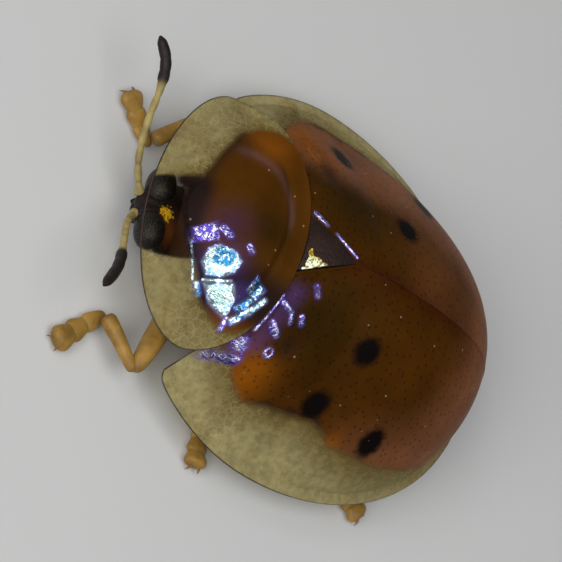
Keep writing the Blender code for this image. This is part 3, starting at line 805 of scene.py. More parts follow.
def chitin_finish(name, light, dark, roughness, hair, coat=0.3):
    """Horny limb: mottled between two colours where the band mark is 0, and the dark one where it is 1."""
    material, tree, shader, where = new_finish(name)
    mottle = grey(tree, ramp(tree, noise(tree, where, 0.12, 4.0), 0.3, 0.7, 0.70, 1.20))
    mottled = mix(tree, 1.0, rgba(light), mottle, "MULTIPLY")
    base = mix(tree, mark(tree, "band"), mottled, rgba(dark))
    stretched = add_node(tree, "Mapping", {"Vector": where, "Scale": (1.0, 1.0, 0.35)}).outputs[0]
    hairs = noise(tree, stretched, hair, 2.0)
    tree.links.new(base, shader.inputs["Base Color"])
    tree.links.new(relief(tree, 0.6, 0.014, hairs), shader.inputs["Normal"])
    tree.links.new(ramp(tree, hairs, 0.3, 0.7, roughness - 0.08, roughness + 0.1), shader.inputs["Roughness"])
    shader.inputs["Coat Weight"].default_value = coat
    shader.inputs["Coat Roughness"].default_value = 0.15
    shader.inputs["Specular IOR Level"].default_value = 0.25
    shader.inputs["Subsurface Weight"].default_value = 0.25
    shader.inputs["Subsurface Scale"].default_value = 0.15 * MM
    return material


def body_finish(name, colours):
    """Dark, finely grained cuticle with a golden glint painted into its colour where its film mark says so,
    only partly metallic.
    """
    material, tree, shader, where = new_finish(name)
    mottle = ramp(tree, noise(tree, where, 0.25, 4.0), 0.35, 0.65)
    base = mix(tree, mottle, rgba(colours.dark), rgba(colours.dark, 2.2))
    base = mix(tree, mark(tree, "warm"), base, rgba(colours.amber))
    grain = noise(tree, where, 0.03, 2.0)
    torn = maths(tree, "MULTIPLY_ADD", grain, 2.0, -1.0)
    torn = maths(tree, "MULTIPLY", torn, ramp(tree, mark(tree, "film"), 0.05, 0.30))
    film = ramp(tree, maths(tree, "ADD", mark(tree, "film"), torn), 0.36, 0.52)
    specks = ramp(tree, noise(tree, where, 0.022, 1.0), 0.42, 0.56, 0.90, 0.0)
    # Painted glint: the film mark mixes a bright colour with dark specks into the base colour; only three
    # tenths of it is metallic
    base = mix(tree, film, base, mix(tree, specks, mark(tree, "film_tint", "Color"), rgba(colours.gold)))
    pits = ramp(tree, cells(tree, where, 0.07), 0.0, 0.5)
    height = maths(tree, "MULTIPLY_ADD", grain, 0.6, pits)
    tree.links.new(base, shader.inputs["Base Color"])
    tree.links.new(maths(tree, "MULTIPLY", film, 0.3), shader.inputs["Metallic"])
    tree.links.new(relief(tree, 0.5, 0.012, height), shader.inputs["Normal"])
    tree.links.new(ramp(tree, grain, 0.3, 0.7, 0.32, 0.46), shader.inputs["Roughness"])
    shader.inputs["Specular IOR Level"].default_value = 0.12
    return material


def eye_finish(name):
    """Compound eye: black facets, raised as cells."""
    material, tree, shader, where = new_finish(name)
    dome = ramp(tree, cells(tree, where, 0.026, "F1", 0.25), 0.0, 0.6, 1.0, 0.0)
    tree.links.new(mix(tree, dome, rgba(FACET_GROOVE), rgba(FACET_DOME)), shader.inputs["Base Color"])
    tree.links.new(relief(tree, 0.8, 0.006, dome), shader.inputs["Normal"])
    shader.inputs["Roughness"].default_value = 0.34
    shader.inputs["Specular IOR Level"].default_value = 0.30
    return material


def floor_finish():
    """Pale matte card with the faintest mottling."""
    material, tree, shader, where = new_finish("floor_card")
    tone = mix(tree, noise(tree, where, 4.0), rgba(CARD_COOL), rgba(CARD_WARM))
    tree.links.new(tone, shader.inputs["Base Color"])
    shader.inputs["Roughness"].default_value = 0.9
    shader.inputs["Specular IOR Level"].default_value = 0.1
    return material


# Pieces


def settings():
    """The sizes and colours that the panel shows."""
    return bpy.context.scene.beetle_sizes, bpy.context.scene.beetle_colours


def disc_inset(radius, turn, table):
    """How far inside the disc's edge a place is, in shares of the radius, from the turn about the centre."""
    degrees, shares = np.array(table, float).T
    return np.interp(np.degrees(turn), degrees, shares) - radius


def case_marks(points, name, colours, sizes):
    """Colours and masks of a wing case, from the place on it alone."""
    x, y = np.abs(points[:, 0]), points[:, 1]
    radius = dome_radius(x, y)
    turn = np.arctan2(x / CASE_HALF_WIDTH, (y - CASE_CENTRE_Y) / case_reach(y))
    cover = disc_inset(radius, turn, DISC_EDGES[name]) * CASE_HALF_WIDTH
    distances = [np.hypot(x - spot_x, y - spot_y) for spot_x, spot_y in SPOTS[name]]
    film = case_film(x, y, name)
    film_tint = one_colour(colours.violet, len(x))
    paler = (0.10 + 0.3 * np.sin(9 * y) ** 2) * smoothstep(0.3, 0.7, film)
    rows = np.stack([x + 0.04 * x**3, y + 0.025 * y**3, np.zeros_like(x)], -1)
    return {
        "tint": case_tint(x, y, radius, cover, name, colours),
        "cover": cover,
        "spot": sizes.spot_radius / MM - np.min(distances, axis=0),
        "film": np.clip(film, 0, 1),
        "film_tint": blend(film_tint, colours.pale, paler),
        "rows": rows / (sizes.puncture_spacing / MM),
        "veins": smoothstep(0.1, -1.0, y),
        "clear": np.zeros(len(x)),
    }


def case_tint(x, y, radius, cover, name, colours):
    """Brown disc: olive ahead, rose behind, amber at the shoulder and side, a dark scalloped edge, and
    painted shade in the shoulder hollow.
    """
    tint = one_colour(colours.brown, len(x))
    tint = blend(tint, colours.olive, 0.92 * blot(x, y, *CASE_OLIVE))
    tint = blend(tint, SUTURE_BROWN, 0.7 * np.exp(-((x / 0.16) ** 2)))
    tint = blend(tint, colours.rose, smoothstep(1.2, 2.9, y) * 0.9)
    tint = blend(tint, colours.rose, smoothstep(0.55, 0.85, radius) * smoothstep(-0.1, 1.2, y) * 0.6)
    if name == "right":
        tint = blend(tint, colours.rose, 0.70 * smoothstep(1.05, 1.60, np.hypot(x, 0.6 * np.maximum(y, 0))))
        tint = blend(tint, colours.rose, 0.20 * smoothstep(-0.3, 1.0, y))
    tint = blend(tint, colours.amber, (0.70 if name == "left" else 0.95) * blot(x, y, *CASE_SHOULDER_AMBER))
    tint = blend(tint, colours.amber, 0.75 * blot(x, y, *CASE_SIDE_AMBER))
    scallop = np.exp(-(((cover - 0.04 - 0.03 * np.sin(16 * y)) / 0.05) ** 2))
    tint = blend(tint, colours.dark, 0.7 * scallop * smoothstep(-1.15, -0.75, y) * smoothstep(0.5, 0.1, y))
    # Painted shade in the shoulder hollow
    tint = blend(tint, colours.dark, 0.60 * blot(x, y, *CASE_PAINTED_HOLLOW_SHADE))
    return np.clip(tint, 0, 1)


def case_film(x, y, name):
    """Metallic film: on the left the base ridges, a corner patch and streaks, on the right the suture's."""
    if name == "right":
        return 0.85 * suture_ridges(x, y)
    film = np.maximum(0.85 * base_ridges(x, y), strokes(x, y, CASE_STREAKS))
    return np.maximum(film, 0.70 * blot(x, y, *CASE_CORNER_FILM))


def base_ridges(x, y):
    """Fine raised lines at the front of a wing case: strokes along its base, a hook, and a ring."""
    away = np.hypot(x - BASE_RING_CENTRE[0], y - BASE_RING_CENTRE[1]) - BASE_RING_RADIUS
    return np.maximum(strokes(x, y, BASE_RIDGES), np.exp(-(away**2) / BASE_RING_REACH**2))


def suture_ridges(x, y):
    """Fine raised lines beside the scutellum: one at its corner and one down to the seam."""
    return strokes(x, y, SUTURE_RIDGES)


def case_relief(x, y):
    """Wing case height with its ridges, two hollows and a knob at the shoulder, and a raised seam."""
    x = np.abs(x)
    inside = smoothstep(1.0, 0.9, dome_radius(x, y))
    hollow = 0.045 * blot(x, y, *SHOULDER_HOLLOW) + 0.02 * blot(x, y, *BASE_HOLLOW)
    knob = 0.05 * blot(x, y, *SHOULDER_KNOB)
    suture = 0.012 * np.exp(-((x / 0.06) ** 2))
    ridges = 0.022 * (base_ridges(x, y) + suture_ridges(x, y))
    return case_top(x, y) + inside * (ridges - hollow + knob + suture)


def rim_path(outline, top, sizes):
    """The edge of a shell, a quarter of its wall below its top."""
    edge_x, edge_y = outline
    return np.stack([edge_x, edge_y, top(edge_x, edge_y) - 0.25 * sizes.shell_wall / MM], -1)


def build_wing_cases():
    """The wing cases: one shell and its rim, mirrored, with the colours of each side."""
    sizes, colours = settings()
    finish = shell_finish("wing_case_cuticle", colours, 1.0, CASE_SPARK)
    bead = chitin_finish("rim_bead", RIM_BROWN, colours.dark, 0.35, 0.05)
    outline = case_outline()
    centre = (0.42 * CASE_HALF_WIDTH, POLE_Y)
    grid, poles = shell_rows(outline, centre, case_relief, sizes.shell_wall / MM)
    for side, name in ((1, "left"), (-1, "right")):
        flip = np.array((side, 1.0, 1.0))
        marks = case_marks(piece_points(grid * flip, poles * flip), name, colours, sizes)
        case = add_piece("wing_case_" + name, grid * flip, poles * flip, marks=marks)
        dress(case, finish, "wing_case", "elytron_" + name)
        path = rim_path(outline, case_top, sizes) * flip
        outer = smoothstep(0.3, 1.2, np.abs(path[:, 0])) * 0.6 + 0.4
        outer *= 1 - 0.55 * smoothstep(-0.4, 1.2, path[:, 1])
        add_rim("wing_case_rim_" + name, path, outer * sizes.rim_bead / MM, bead)


def add_rim(name, path, radius, finish):
    """A fine bead along a closed edge: a circle carried round it, square to its run."""
    along = np.roll(path, -1, 0) - np.roll(path, 1, 0)
    along /= np.linalg.norm(along, axis=1)[:, None]
    side = np.cross(along, (0.0, 0.0, 1.0))
    side /= np.linalg.norm(side, axis=1)[:, None]
    lift = np.cross(side, along)
    turn = 2 * np.pi * np.arange(10) / 10
    ring = np.cos(turn)[None, :, None] * side[:, None] + np.sin(turn)[None, :, None] * lift[:, None]
    grid = path[:, None] + ring * radius[:, None, None]
    band = np.full(grid.shape[0] * grid.shape[1], 0.35)
    rim = add_piece(name, grid, wrap_rows=True, marks={"band": band})
    dress(rim, finish, "wing_case")


def shield_marks(points, colours):
    """Colours and masks of the shield, from the place on it alone."""
    x, y = points[:, 0], points[:, 1]
    radius, _ = shield_radius(x, y)
    turn = np.arctan2(np.abs(x) / SHIELD_HALF_WIDTH, (y - SHIELD_WIDEST_Y) / SHIELD_REAR_REACH)
    cover = disc_inset(radius, turn, SHIELD_DISC_EDGE) * SHIELD_HALF_WIDTH
    cover = np.maximum(cover, 0.30 * stroke(x, y, *SHIELD_NECK) - 0.22)
    film, film_tint = shield_film(x, y, colours)
    across = (np.abs(x - WINDOW_CENTRE[0]) / WINDOW_REACH[0]) ** WINDOW_POWER
    along = (np.abs(y - WINDOW_CENTRE[1]) / WINDOW_REACH[1]) ** WINDOW_POWER
    return {
        "tint": shield_tint(x, y, cover, colours),
        "cover": cover,
        "spot": np.full(len(x), -1.0),
        "film": film,
        "film_tint": film_tint,
        "rows": np.stack([x, y, np.zeros_like(x)], -1) * 6,
        "veins": np.ones(len(x)),
        "clear": smoothstep(1.0, 0.75, across + along),
    }


def shield_tint(x, y, cover, colours):
    """Bronze disc of the shield: amber at its rear corners, dark under the film, a patch of painted purple
    sheen, and a faint arc of painted lilac sheen.
    """
    tint = one_colour(colours.bronze, len(x))
    tint = blend(tint, colours.amber, 0.60 * blot(np.abs(x), y, *SHIELD_AMBER))
    tint = blend(tint, colours.olive, 0.85 * blot(x, y, *SHIELD_OLIVE))
    tint = blend(tint, colours.dark, 0.90 * smoothstep(0.45, 0.9, x) * smoothstep(1.50, 1.20, x))
    tint = blend(tint, colours.dark, 0.95 * smoothstep(-2.62, -2.82, y) * smoothstep(-0.55, -0.25, x))
    tint = blend(tint, colours.dark, 0.60 * smoothstep(0.30, 0.0, cover) * smoothstep(-2.2, -2.5, y))
    # Painted purple sheen blended into the disc's colour
    tint = blend(tint, colours.painted_sheen, 0.75 * blot(x, y, *SHIELD_PAINTED_SHEEN))
    # Painted sheen: a faint lilac arc on the shield's right half, blended into its colour
    sheen_arc = np.hypot((x - SHEEN_ARC_CENTRE[0]) / SHEEN_ARC_REACH[0], (y - SHEEN_ARC_CENTRE[1]) / SHEEN_ARC_REACH[1]) - SHEEN_ARC_SIZE
    sheen_arc = 0.26 * np.exp(-((sheen_arc / 0.08) ** 2)) * smoothstep(0.1, -0.3, x) * smoothstep(-2.6, -2.4, y)
    return np.clip(blend(tint, PAINTED_SHEEN_LILAC, sheen_arc), 0, 1)


def shield_film(x, y, colours):
    """Metallic film of the shield: a haze, the patches with cyan places in them, and the streaks."""
    film = 0.26 * np.maximum(*(blot(x, y, place, reach) for place, reach in SHIELD_HAZES))
    film_tint = one_colour(colours.violet, len(x))
    for kind, corners in FILM_PATCHES:
        patch = smoothstep(-0.05, 0.09, within(x, y, corners))
        film_tint = blend(film_tint, getattr(colours, kind), patch)
        film = np.maximum(film, patch)
    heart = smoothstep(0.155, 0.115, np.hypot(x - FILM_HEART[0], y - FILM_HEART[1]))
    film_tint = blend(film_tint, colours.glint, heart)
    for place, reach, strength in FILM_GLINTS:
        film_tint = blend(film_tint, colours.glint, strength * blot(x, y, place, reach))
    for start, end, reach, strength, kind in FILM_STREAKS:
        streak = stroke(x, y, start, end, reach)
        film_tint = blend(film_tint, getattr(colours, kind), streak)
        film = np.maximum(film, strength * streak)
    return np.clip(film, 0, 1), film_tint


def shield_relief(x, y):
    """Shield height with a raised disc and a shallow cross furrow before its rear edge."""
    radius, _ = shield_radius(x, y)
    disc = 0.03 * smoothstep(0.72, 0.55, radius)
    furrow = 0.02 * stroke(np.abs(x), y, *SHIELD_FURROW)
    return shield_top(x, y) + disc - furrow


def build_shield():
    """The shield over the head and its rim."""
    sizes, colours = settings()
    finish = shell_finish("shield_cuticle", colours, 0.10, SHIELD_SPARK)
    bead = chitin_finish("shield_bead", RIM_BROWN, colours.dark, 0.35, 0.05)
    outline = shield_outline()
    grid, poles = shell_rows(outline, (0.0, SHIELD_WIDEST_Y), shield_relief, sizes.shell_wall / MM)
    shield = add_piece("shield", grid, poles, marks=shield_marks(piece_points(grid, poles), colours))
    dress(shield, finish, "shield", "pronotum")
    path = rim_path(outline, shield_top, sizes)
    add_rim("shield_rim", path, np.full(len(path), sizes.rim_bead / MM), bead)


def scutellum_top(x, y):
    """Height of the scutellum: the wing cases' with a crown that falls as the square of the way out."""
    middle_y = (2 * SCUTELLUM_BASE_Y + SCUTELLUM_TIP_Y) / 3
    out = np.hypot(x / SCUTELLUM_HALF_WIDTH, (y - middle_y) / SCUTELLUM_REACH)
    return case_top(x, y) + SCUTELLUM_RISE * (SCUTELLUM_CROWN - out**2)


def build_scutellum():
    """The small triangle between the wing cases, with a painted golden glint at its left corner, only partly
    metallic.
    """
    sizes, colours = settings()
    base_left = (-SCUTELLUM_HALF_WIDTH, SCUTELLUM_BASE_Y)
    base_right = (SCUTELLUM_HALF_WIDTH, SCUTELLUM_BASE_Y)
    corners = np.array((base_left, base_right, (0.0, SCUTELLUM_TIP_Y)))
    share = np.linspace(0, 1, 40, endpoint=False)[:, None]
    edge = np.concatenate([corners[i] + (corners[(i + 1) % 3] - corners[i]) * share for i in range(3)])
    middle = (0.0, (2 * SCUTELLUM_BASE_Y + SCUTELLUM_TIP_Y) / 3)
    wall = sizes.shell_wall / MM
    grid, poles = shell_rows((edge[:, 0], edge[:, 1]), middle, scutellum_top, wall, rows=40, under_rows=10)
    x, y, _ = piece_points(grid, poles).T
    # Painted glint: a pale golden patch and streak in the scutellum's colour, only partly metallic
    patch = within(x, y, SCUTELLUM_PAINTED_GLINT_CORNERS)
    streak = stroke(x, y, *SCUTELLUM_PAINTED_GLINT_STREAK)
    gold = one_colour(SCUTELLUM_PAINTED_GLINT_GOLD, len(x))
    marks = {
        "warm": 0.03 * blot(x, y, *SCUTELLUM_WARM),
        "film": np.maximum(0.95 * smoothstep(-0.03, 0.03, patch), 0.70 * streak),
        "film_tint": blend(gold, SCUTELLUM_PAINTED_GLINT_PALE, smoothstep(0.14, 0.24, x)),
    }
    plate = add_piece("scutellum_plate", grid, poles, marks=marks)
    dress(plate, body_finish("scutellum_cuticle", colours), "scutellum", "scutellum")


def ovoid(centre, radii, shape=None, rows=60, columns=80):
    """A ball stretched to three radii, with an optional change of its unit points before that."""
    polar = np.pi * np.arange(1, rows) / rows
    turn = 2 * np.pi * np.arange(columns) / columns
    out = np.sin(polar)[:, None]
    unit = np.stack([out * np.cos(turn), out * np.sin(turn), np.cos(polar)[:, None] * np.ones(columns)], -1)
    poles = np.array(((0, 0, 1.0), (0, 0, -1.0)))
    if shape:
        unit, poles = shape(unit), shape(poles)
    return unit * np.array(radii) + np.array(centre), poles * np.array(radii) + np.array(centre)


def head_shape(unit):
    """The head: a ball grooved along its face, narrowed below, and squared and widened behind the eyes."""
    x, y, z = unit[..., 0], unit[..., 1], unit[..., 2]
    groove = 0.07 * np.exp(-((x / 0.10) ** 2)) * smoothstep(0.1, -0.5, y)
    behind = smoothstep(-0.3, 0.4, y)
    square = np.maximum(1 - y**2 * behind, 0.02) ** -0.25 * (1 + 0.26 * behind)
    return np.stack([x * square * (1 - 0.25 * smoothstep(0.2, -1.0, z)), y * (1 - groove), z], -1)


def build_head():
    """The head with a painted golden glint between the eyes, only partly metallic, two palps and the upper
    lip.
    """
    _, colours = settings()
    finish = body_finish("head_cuticle", colours)
    grid, poles = ovoid(HEAD_CENTRE, HEAD_RADII, head_shape)
    x, y, z = piece_points(grid, poles).T
    brow = smoothstep(0.5, 0.7, z)
    marks = {
        "warm": 0.45 * blot(x, y, *HEAD_WARM) * brow,
        # Painted glint: a bright golden blot in the head's colour at the top of the brow, only partly
        # metallic
        "film": np.clip(1.25 * blot(x, y, *HEAD_PAINTED_GLINT), 0, 1) * brow,
        "film_tint": one_colour(PAINTED_HEAD_GLINT_GOLD, len(x)),
    }
    head = add_piece("head_capsule", grid, poles, marks=marks)
    dress(head, finish, "head", "head")
    for side, name in ((1, "left"), (-1, "right")):
        path = smooth_path(np.array(PALP_PATH) * (side, 1, 1), 30)
        share = np.linspace(0, 1, 30)
        girth = PALP_RADIUS * rounded_ends(share, 8) * (1 - 0.3 * share)
        rows = tube_rows(path, girth, girth, sides=14)[1:-1]
        palp = add_piece("palp_" + name, rows, (path[0], path[-1]), marks=plain_marks(rows))
        dress(palp, finish, "head")
    grid, poles = ovoid(LIP_CENTRE, LIP_RADII, rows=24, columns=36)
    lip = add_piece("upper_lip", grid, poles, marks=plain_marks(grid))
    dress(lip, finish, "head")


def plain_marks(grid, warm=0.0):
    """Marks of a dark part without film, for the points of a grid and its two poles."""
    count = grid.shape[0] * grid.shape[1] + 2
    return {"warm": np.zeros(count) + warm, "film": np.zeros(count), "film_tint": np.zeros((count, 3))}


def build_eyes():
    """The two compound eyes, balls stretched to three radii."""
    finish = eye_finish("eye_facets")
    for side, name in ((1, "left"), (-1, "right")):
        grid, poles = ovoid(np.array(EYE_CENTRE) * (side, 1, 1), EYE_RADII)
        eye = add_piece("compound_eye_" + name, grid, poles)
        dress(eye, finish, "eye", "eye_" + name)


def build_feelers():
    """Feelers of eleven joints: each swells from a narrow root, and the last four make the dark club."""
    sizes, colours = settings()
    finish = chitin_finish("feeler_cuticle", colours.straw, colours.dark, 0.50, 0.03, 0.0)
    sides = 18
    for name, guide in (("left", LEFT_FEELER), ("right", RIGHT_FEELER)):
        path = smooth_path(guide, 12 * FEELER_JOINTS + 1)
        share = np.linspace(0, 1, len(path))
        step = share * FEELER_JOINTS % 1
        club = smoothstep(0.58, 0.66, share)
        bead = 0.80 + 0.20 * np.sin(np.pi * np.clip(step * 1.1, 0, 1)) ** 0.6
        girth = (sizes.feeler_radius + (sizes.club_radius - sizes.feeler_radius) * club) / MM
        girth = girth * (bead + 0.65 * club * (1 - bead)) * (1 + 0.5 * smoothstep(0.10, 0.0, share))
        girth *= np.sqrt(np.clip(1 - smoothstep(0.90, 1.0, share) * 0.92, 0.02, 1))
        rows = tube_rows(path, girth, girth, sides=sides)
        joint = 0.45 * np.exp(-((np.minimum(step, 1 - step) / 0.10) ** 2)) * smoothstep(0.45, 0.10, share)
        band = np.repeat(np.maximum(smoothstep(0.60, 0.66, share), joint), sides)
        ends = 2 * np.array((path[0], path[-1])) - np.array((path[1], path[-2]))
        feeler = add_piece("feeler_" + name, rows, ends, marks={"band": np.append(band, (0.0, 1.0))})
        dress(feeler, finish, "feeler", "antenna_" + name)


def limb_rows(start, end, girth, bow, sides=22, steps=40, flat=1.0):
    """A limb from joint to joint: an ellipse on a slightly bowed path, its girth a curve of the way along."""
    share = np.linspace(0, 1, steps)
    path = start + (end - start) * share[:, None]
    path[:, 2] += bow * np.sin(np.pi * share)
    radius = girth(share)
    return tube_rows(path, radius, radius * flat, sides=sides)[1:-1], (path[0], path[-1])


def rounded_ends(share, power):
    """1 along the middle and 0 at both ends: the root of 1 - (2 t - 1)^power."""
    return np.sqrt(np.clip(1 - (2 * share - 1) ** power, 0, 1))


def thigh_girth(radius):
    """A thigh swells to its middle as a sine."""
    return lambda t: radius * (0.55 + 0.45 * np.sin(np.pi * t) ** 0.7) * rounded_ends(t, 12)


def shin_girth(radius):
    """A shin widens evenly towards the foot."""
    return lambda t: radius * (0.62 + 0.38 * t) * rounded_ends(t, 12)


def lobe_girth(radius):
    """A foot lobe widens as a smooth S."""
    return lambda t: radius * (0.66 + 0.34 * smoothstep(0.1, 0.75, t)) * rounded_ends(t, 4)


def claw_girth(radius):
    """A claw tapers evenly from its root."""
    return lambda t: radius * (1.05 - t) * rounded_ends(t, 8)


def build_legs():
    """Legs of thigh, shin, three foot lobes and two claws, joined into one piece each."""
    sizes, colours = settings()
    dark_amber = tuple(channel * 0.35 for channel in colours.leg)
    finish = chitin_finish("leg_cuticle", colours.leg, dark_amber, 0.45, 0.03, 0.05)
    for name, joints in LEGS.items():
        hip, knee, ankle, toe = (np.array(place) for place in joints)
        parts = [
            limb_rows(hip, knee, thigh_girth(sizes.thigh_radius / MM), 0.04),
            limb_rows(knee, ankle, shin_girth(sizes.shin_radius / MM), 0.02),
        ]
        parts += foot_lobes(ankle, toe, sizes.foot_half_width / MM)
        parts += claws(ankle, toe)
        join_limb(name, parts, finish)


def foot_lobes(ankle, toe, half_width):
    """Three overlapping flat lobes from ankle to toe, each wider than the last, lying on the floor."""
    run = toe - ankle
    lobes = []
    for lobe, share in enumerate(LOBE_SHARES):
        start = ankle + run * (lobe / 3 - 0.10)
        end = ankle + run * ((lobe + 1) / 3 + 0.08)
        start[2] = end[2] = half_width * LOBE_FLATNESS * share
        start[2] += 0.07 * (lobe == 0)
        lobes.append(limb_rows(start, end, lobe_girth(half_width * share), 0.0, flat=LOBE_FLATNESS))
    return lobes


def claws(ankle, toe):
    """Two claws that part ahead of the toe and point down."""
    run = toe - ankle
    heading = run * (1, 1, 0) / np.hypot(run[0], run[1])
    aside = np.array((-heading[1], heading[0], 0.0))
    pair = []
    for turn in (1, -1):
        root = toe + heading * 0.02 + aside * 0.05 * turn
        root[2] = CLAW_ROOT_Z
        tip = root + heading * 0.08 + aside * 0.07 * turn
        tip[2] = CLAW_TIP_Z
        pair.append(limb_rows(root, tip, claw_girth(CLAW_RADIUS), 0.03, sides=12, steps=20))
    return pair


def join_limb(name, parts, finish):
    """Joins a leg's thigh, shin, lobes and claws, which overlap, with darker bands where each one ends."""
    made = []
    for index, (grid, poles) in enumerate(parts):
        grid[..., 2] = np.maximum(grid[..., 2], 0.0)
        steps, sides = grid.shape[:2]
        ends = np.abs(np.linspace(-1, 1, steps)) ** 14 * 0.5
        band = np.repeat(ends if index < 2 else ends * 0.3, sides)
        if index > 4:
            band = np.full(steps * sides, 0.45)
        made.append(add_piece(f"{name}_{index}", grid, poles, marks={"band": np.append(band, (0.3, 0.3))}))
    bpy.ops.object.select_all(action="DESELECT")
    for piece in made:
        piece.select_set(True)
    bpy.context.view_layer.objects.active = made[0]
    bpy.ops.object.join()
    leg = made[0]
    leg.name = name.replace("leg_", "walking_leg_")
    dress(leg, finish, "leg", name)


def build_trunk():
    """The dark underside: an oval loaf under the plates, grooved into rings behind and plates ahead."""
    _, colours = settings()
    angle = 2 * np.pi * np.arange(200) / 200
    reach = np.where(np.cos(angle) > 0, TRUNK_REAR_REACH, TRUNK_FRONT_REACH)
    over_rows = 60
    under_rows = 119
    out = np.linspace(0, 1, over_rows + 1)[1:]
    back = np.linspace(1, 0, under_rows + 2)[1:-1]
    spread = np.concatenate([out, back])[:, None]
    x = TRUNK_HALF_WIDTH * np.sin(angle) * spread
    y = TRUNK_CENTRE_Y + reach * np.cos(angle) * spread
    roof = trunk_roof(x, y)
    floor = trunk_floor(x, y, np.minimum(trunk_radius(x, y), 1))
    z = np.concatenate([roof[:over_rows], floor[over_rows:]])
    z[over_rows - 1] = (roof[over_rows - 1] + floor[over_rows - 1]) / 2
    grid = np.stack([x, y, z], -1)
    top_z = float(trunk_roof(np.array(0.0), np.array(TRUNK_CENTRE_Y)))
    poles = ((0.0, TRUNK_CENTRE_Y, top_z), (0.0, TRUNK_CENTRE_Y, BELLY_Z))
    points_y = np.append(grid[..., 1].ravel(), (0.0, 0.0))
    marks = plain_marks(grid, 0.10 + 0.25 * smoothstep(0.8, 2.4, points_y))
    trunk = add_piece("trunk", grid, poles, marks=marks)
    dress(trunk, body_finish("trunk_cuticle", colours), "trunk", "thorax", "abdomen")


def trunk_roof(x, y):
    """Underside of the plates above, less room for a plate and a seam."""
    under_case = case_top(x, y) - PLATE_ROOM
    radius, _ = shield_radius(x, y)
    under_shield = shield_top(x, y) - PLATE_ROOM
    lower = np.where(radius > 0.8, np.minimum(under_case, under_shield), under_shield)
    return np.where(radius > 1.1, under_case, lower) - TRUNK_SEAM


def trunk_floor(x, y, radius):
    """Belly: a shallow bowl with a groove between its rings and a ridge along the middle of the breast."""
    bent = y + 0.10 * (x / 1.2) ** 2
    groove = sum(np.exp(-(((bent - ring) / RING_REACH) ** 2)) for ring in BELLY_RINGS)
    breast = np.exp(-((x / 0.35) ** 2)) * smoothstep(0.4, -0.2, y)
    bowl = BELLY_Z + BELLY_RISE * radius**2
    return bowl + RING_DEPTH * groove * (1 - radius**4) - BREAST_RIDGE * breast


def build_stage():
    """Pale floor, soft lamps overhead, at the side and ahead, plain surroundings and the camera."""
    half = FLOOR_HALF_WIDTH
    mesh = bpy.data.meshes.new("floor")
    corners = ((-half, -half, 0.0), (half, -half, 0.0), (half, half, 0.0), (-half, half, 0.0))
    mesh.from_pydata(corners, [], ((0, 1, 2, 3),))
    mesh.materials.append(floor_finish())
    floor = bpy.data.objects.new("floor", mesh)
    bpy.context.scene.collection.objects.link(floor)
    for name, place, width, power in LAMPS:
        add_lamp(name, place, width, power)
    bpy.context.scene.world = studio_world()
    bpy.context.scene.view_settings.view_transform = "Standard"
    data = bpy.data.cameras.new("camera")
    data.sensor_width = 36.0
    data.lens = CAMERA_LENS
    data.clip_start = 0.002
    data.clip_end = 5.0
    camera = bpy.data.objects.new("camera", data)
    bpy.context.scene.collection.objects.link(camera)
    view = (CAMERA_AIM - CAMERA_EYE).to_track_quat("-Z", "Y").to_matrix()
    turned = view @ Matrix.Rotation(np.radians(CAMERA_ROLL), 3, "Z")
    camera.matrix_world = Matrix.Translation(CAMERA_EYE * MM) @ turned.to_4x4()
    bpy.context.scene.camera = camera


def studio_world():
    """Surroundings that are pale at the horizon and dark overhead, by the height of the direction."""
    world = bpy.data.worlds.new("studio")
    world.use_nodes = True
    tree = world.node_tree
    direction = add_node(tree, "TexCoord").outputs["Generated"]
    height = add_node(tree, "SeparateXYZ", {0: direction}).outputs["Z"]
    strength = ramp(tree, height, 0.06, 0.42, 0.48, 0.09)
    background = tree.nodes["Background"]
    background.inputs["Color"].default_value = rgba(STUDIO_SKY)
    tree.links.new(strength, background.inputs["Strength"])
    return world


def add_lamp(name, place, width, power):
    """A round area lamp at a place in millimetres, facing the middle of the model."""
    data = bpy.data.lights.new(name, "AREA")
    data.shape = "DISK"
    data.size = width * MM
    data.energy = power
    data.color = LAMP_WHITE
    lamp = bpy.data.objects.new(name, data)
    lamp.location = Vector(place) * MM
    lamp.rotation_euler = (Vector((0, 0, 1)) - Vector(place)).to_track_quat("-Z", "Y").to_euler()
    bpy.context.scene.collection.objects.link(lamp)


# Operators: one for each piece or group of like pieces


class BEETLE_OT_trunk(bpy.types.Operator):
    """Builds the dark underside"""

    bl_idname = "beetle.trunk"
    bl_label = "Trunk"

    def execute(self, context):
        build_trunk()
        return {"FINISHED"}


class BEETLE_OT_wing_cases(bpy.types.Operator):
    """Builds the two wing cases and their rims"""

    bl_idname = "beetle.wing_cases"
    bl_label = "Wing cases"

    def execute(self, context):
        build_wing_cases()
        return {"FINISHED"}


class BEETLE_OT_shield(bpy.types.Operator):
    """Builds the shield over the head and its rim"""

    bl_idname = "beetle.shield"
    bl_label = "Shield"

    def execute(self, context):
        build_shield()
        return {"FINISHED"}


class BEETLE_OT_scutellum(bpy.types.Operator):
    """Builds the triangle between the wing cases"""

    bl_idname = "beetle.scutellum"
    bl_label = "Scutellum"

    def execute(self, context):
        build_scutellum()
        return {"FINISHED"}


class BEETLE_OT_head(bpy.types.Operator):
    """Builds the head and its mouthparts"""

    bl_idname = "beetle.head"
    bl_label = "Head"

    def execute(self, context):
        build_head()
        return {"FINISHED"}


class BEETLE_OT_eyes(bpy.types.Operator):
    """Builds the two compound eyes"""

    bl_idname = "beetle.eyes"
    bl_label = "Eyes"

    def execute(self, context):
        build_eyes()
        return {"FINISHED"}


class BEETLE_OT_feelers(bpy.types.Operator):
    """Builds the two feelers"""

    bl_idname = "beetle.feelers"
    bl_label = "Feelers"

    def execute(self, context):
        build_feelers()
        return {"FINISHED"}


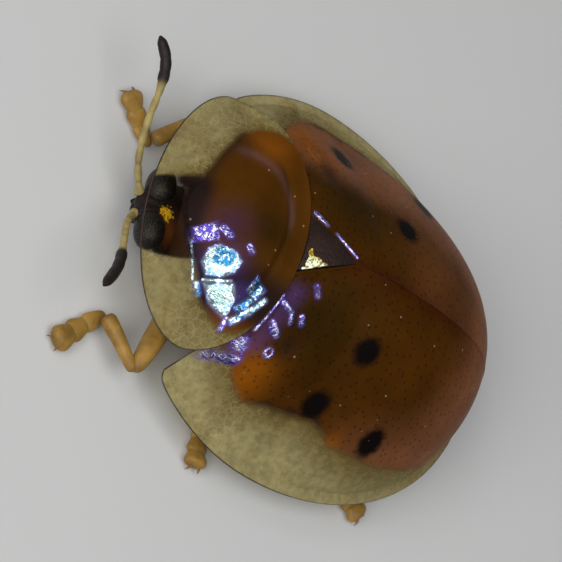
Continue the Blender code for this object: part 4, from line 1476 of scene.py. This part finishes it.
class BEETLE_OT_legs(bpy.types.Operator):
    """Builds the six legs"""

    bl_idname = "beetle.legs"
    bl_label = "Legs"

    def execute(self, context):
        build_legs()
        return {"FINISHED"}


class BEETLE_OT_stage(bpy.types.Operator):
    """Builds the floor, the lamps and the camera"""

    bl_idname = "beetle.stage"
    bl_label = "Stage"

    def execute(self, context):
        build_stage()
        return {"FINISHED"}


class BEETLE_PT_pieces(bpy.types.Panel):
    """Sizes, colours and one button for each piece"""

    bl_label = "Tortoise beetle"
    bl_space_type = "VIEW_3D"
    bl_region_type = "UI"
    bl_category = "Beetle"

    def draw(self, context):
        """Lists the settings and the buttons."""
        scene = context.scene
        for group in (scene.beetle_sizes, scene.beetle_colours):
            for name in group.__annotations__:
                self.layout.prop(group, name)
        for operator in PIECES:
            self.layout.operator(operator.bl_idname)


PIECES = (
    BEETLE_OT_trunk, BEETLE_OT_wing_cases, BEETLE_OT_shield, BEETLE_OT_scutellum, BEETLE_OT_head,
    BEETLE_OT_eyes, BEETLE_OT_feelers, BEETLE_OT_legs, BEETLE_OT_stage,
)
CLASSES = (BeetleSizes, BeetleColours, *PIECES, BEETLE_PT_pieces)


def register():
    """Adds the classes and the two groups of settings."""
    for cls in CLASSES:
        bpy.utils.register_class(cls)
    bpy.types.Scene.beetle_sizes = bpy.props.PointerProperty(type=BeetleSizes)
    bpy.types.Scene.beetle_colours = bpy.props.PointerProperty(type=BeetleColours)


def unregister():
    """Takes them away again, in the opposite order."""
    del bpy.types.Scene.beetle_colours
    del bpy.types.Scene.beetle_sizes
    for cls in reversed(CLASSES):
        bpy.utils.unregister_class(cls)


def main():
    """Builds every piece through its operator."""
    register()
    bpy.ops.beetle.trunk()
    bpy.ops.beetle.wing_cases()
    bpy.ops.beetle.shield()
    bpy.ops.beetle.scutellum()
    bpy.ops.beetle.head()
    bpy.ops.beetle.eyes()
    bpy.ops.beetle.feelers()
    bpy.ops.beetle.legs()
    bpy.ops.beetle.stage()
    bpy.context.view_layer.update()


if __name__ == "__main__":
    main()
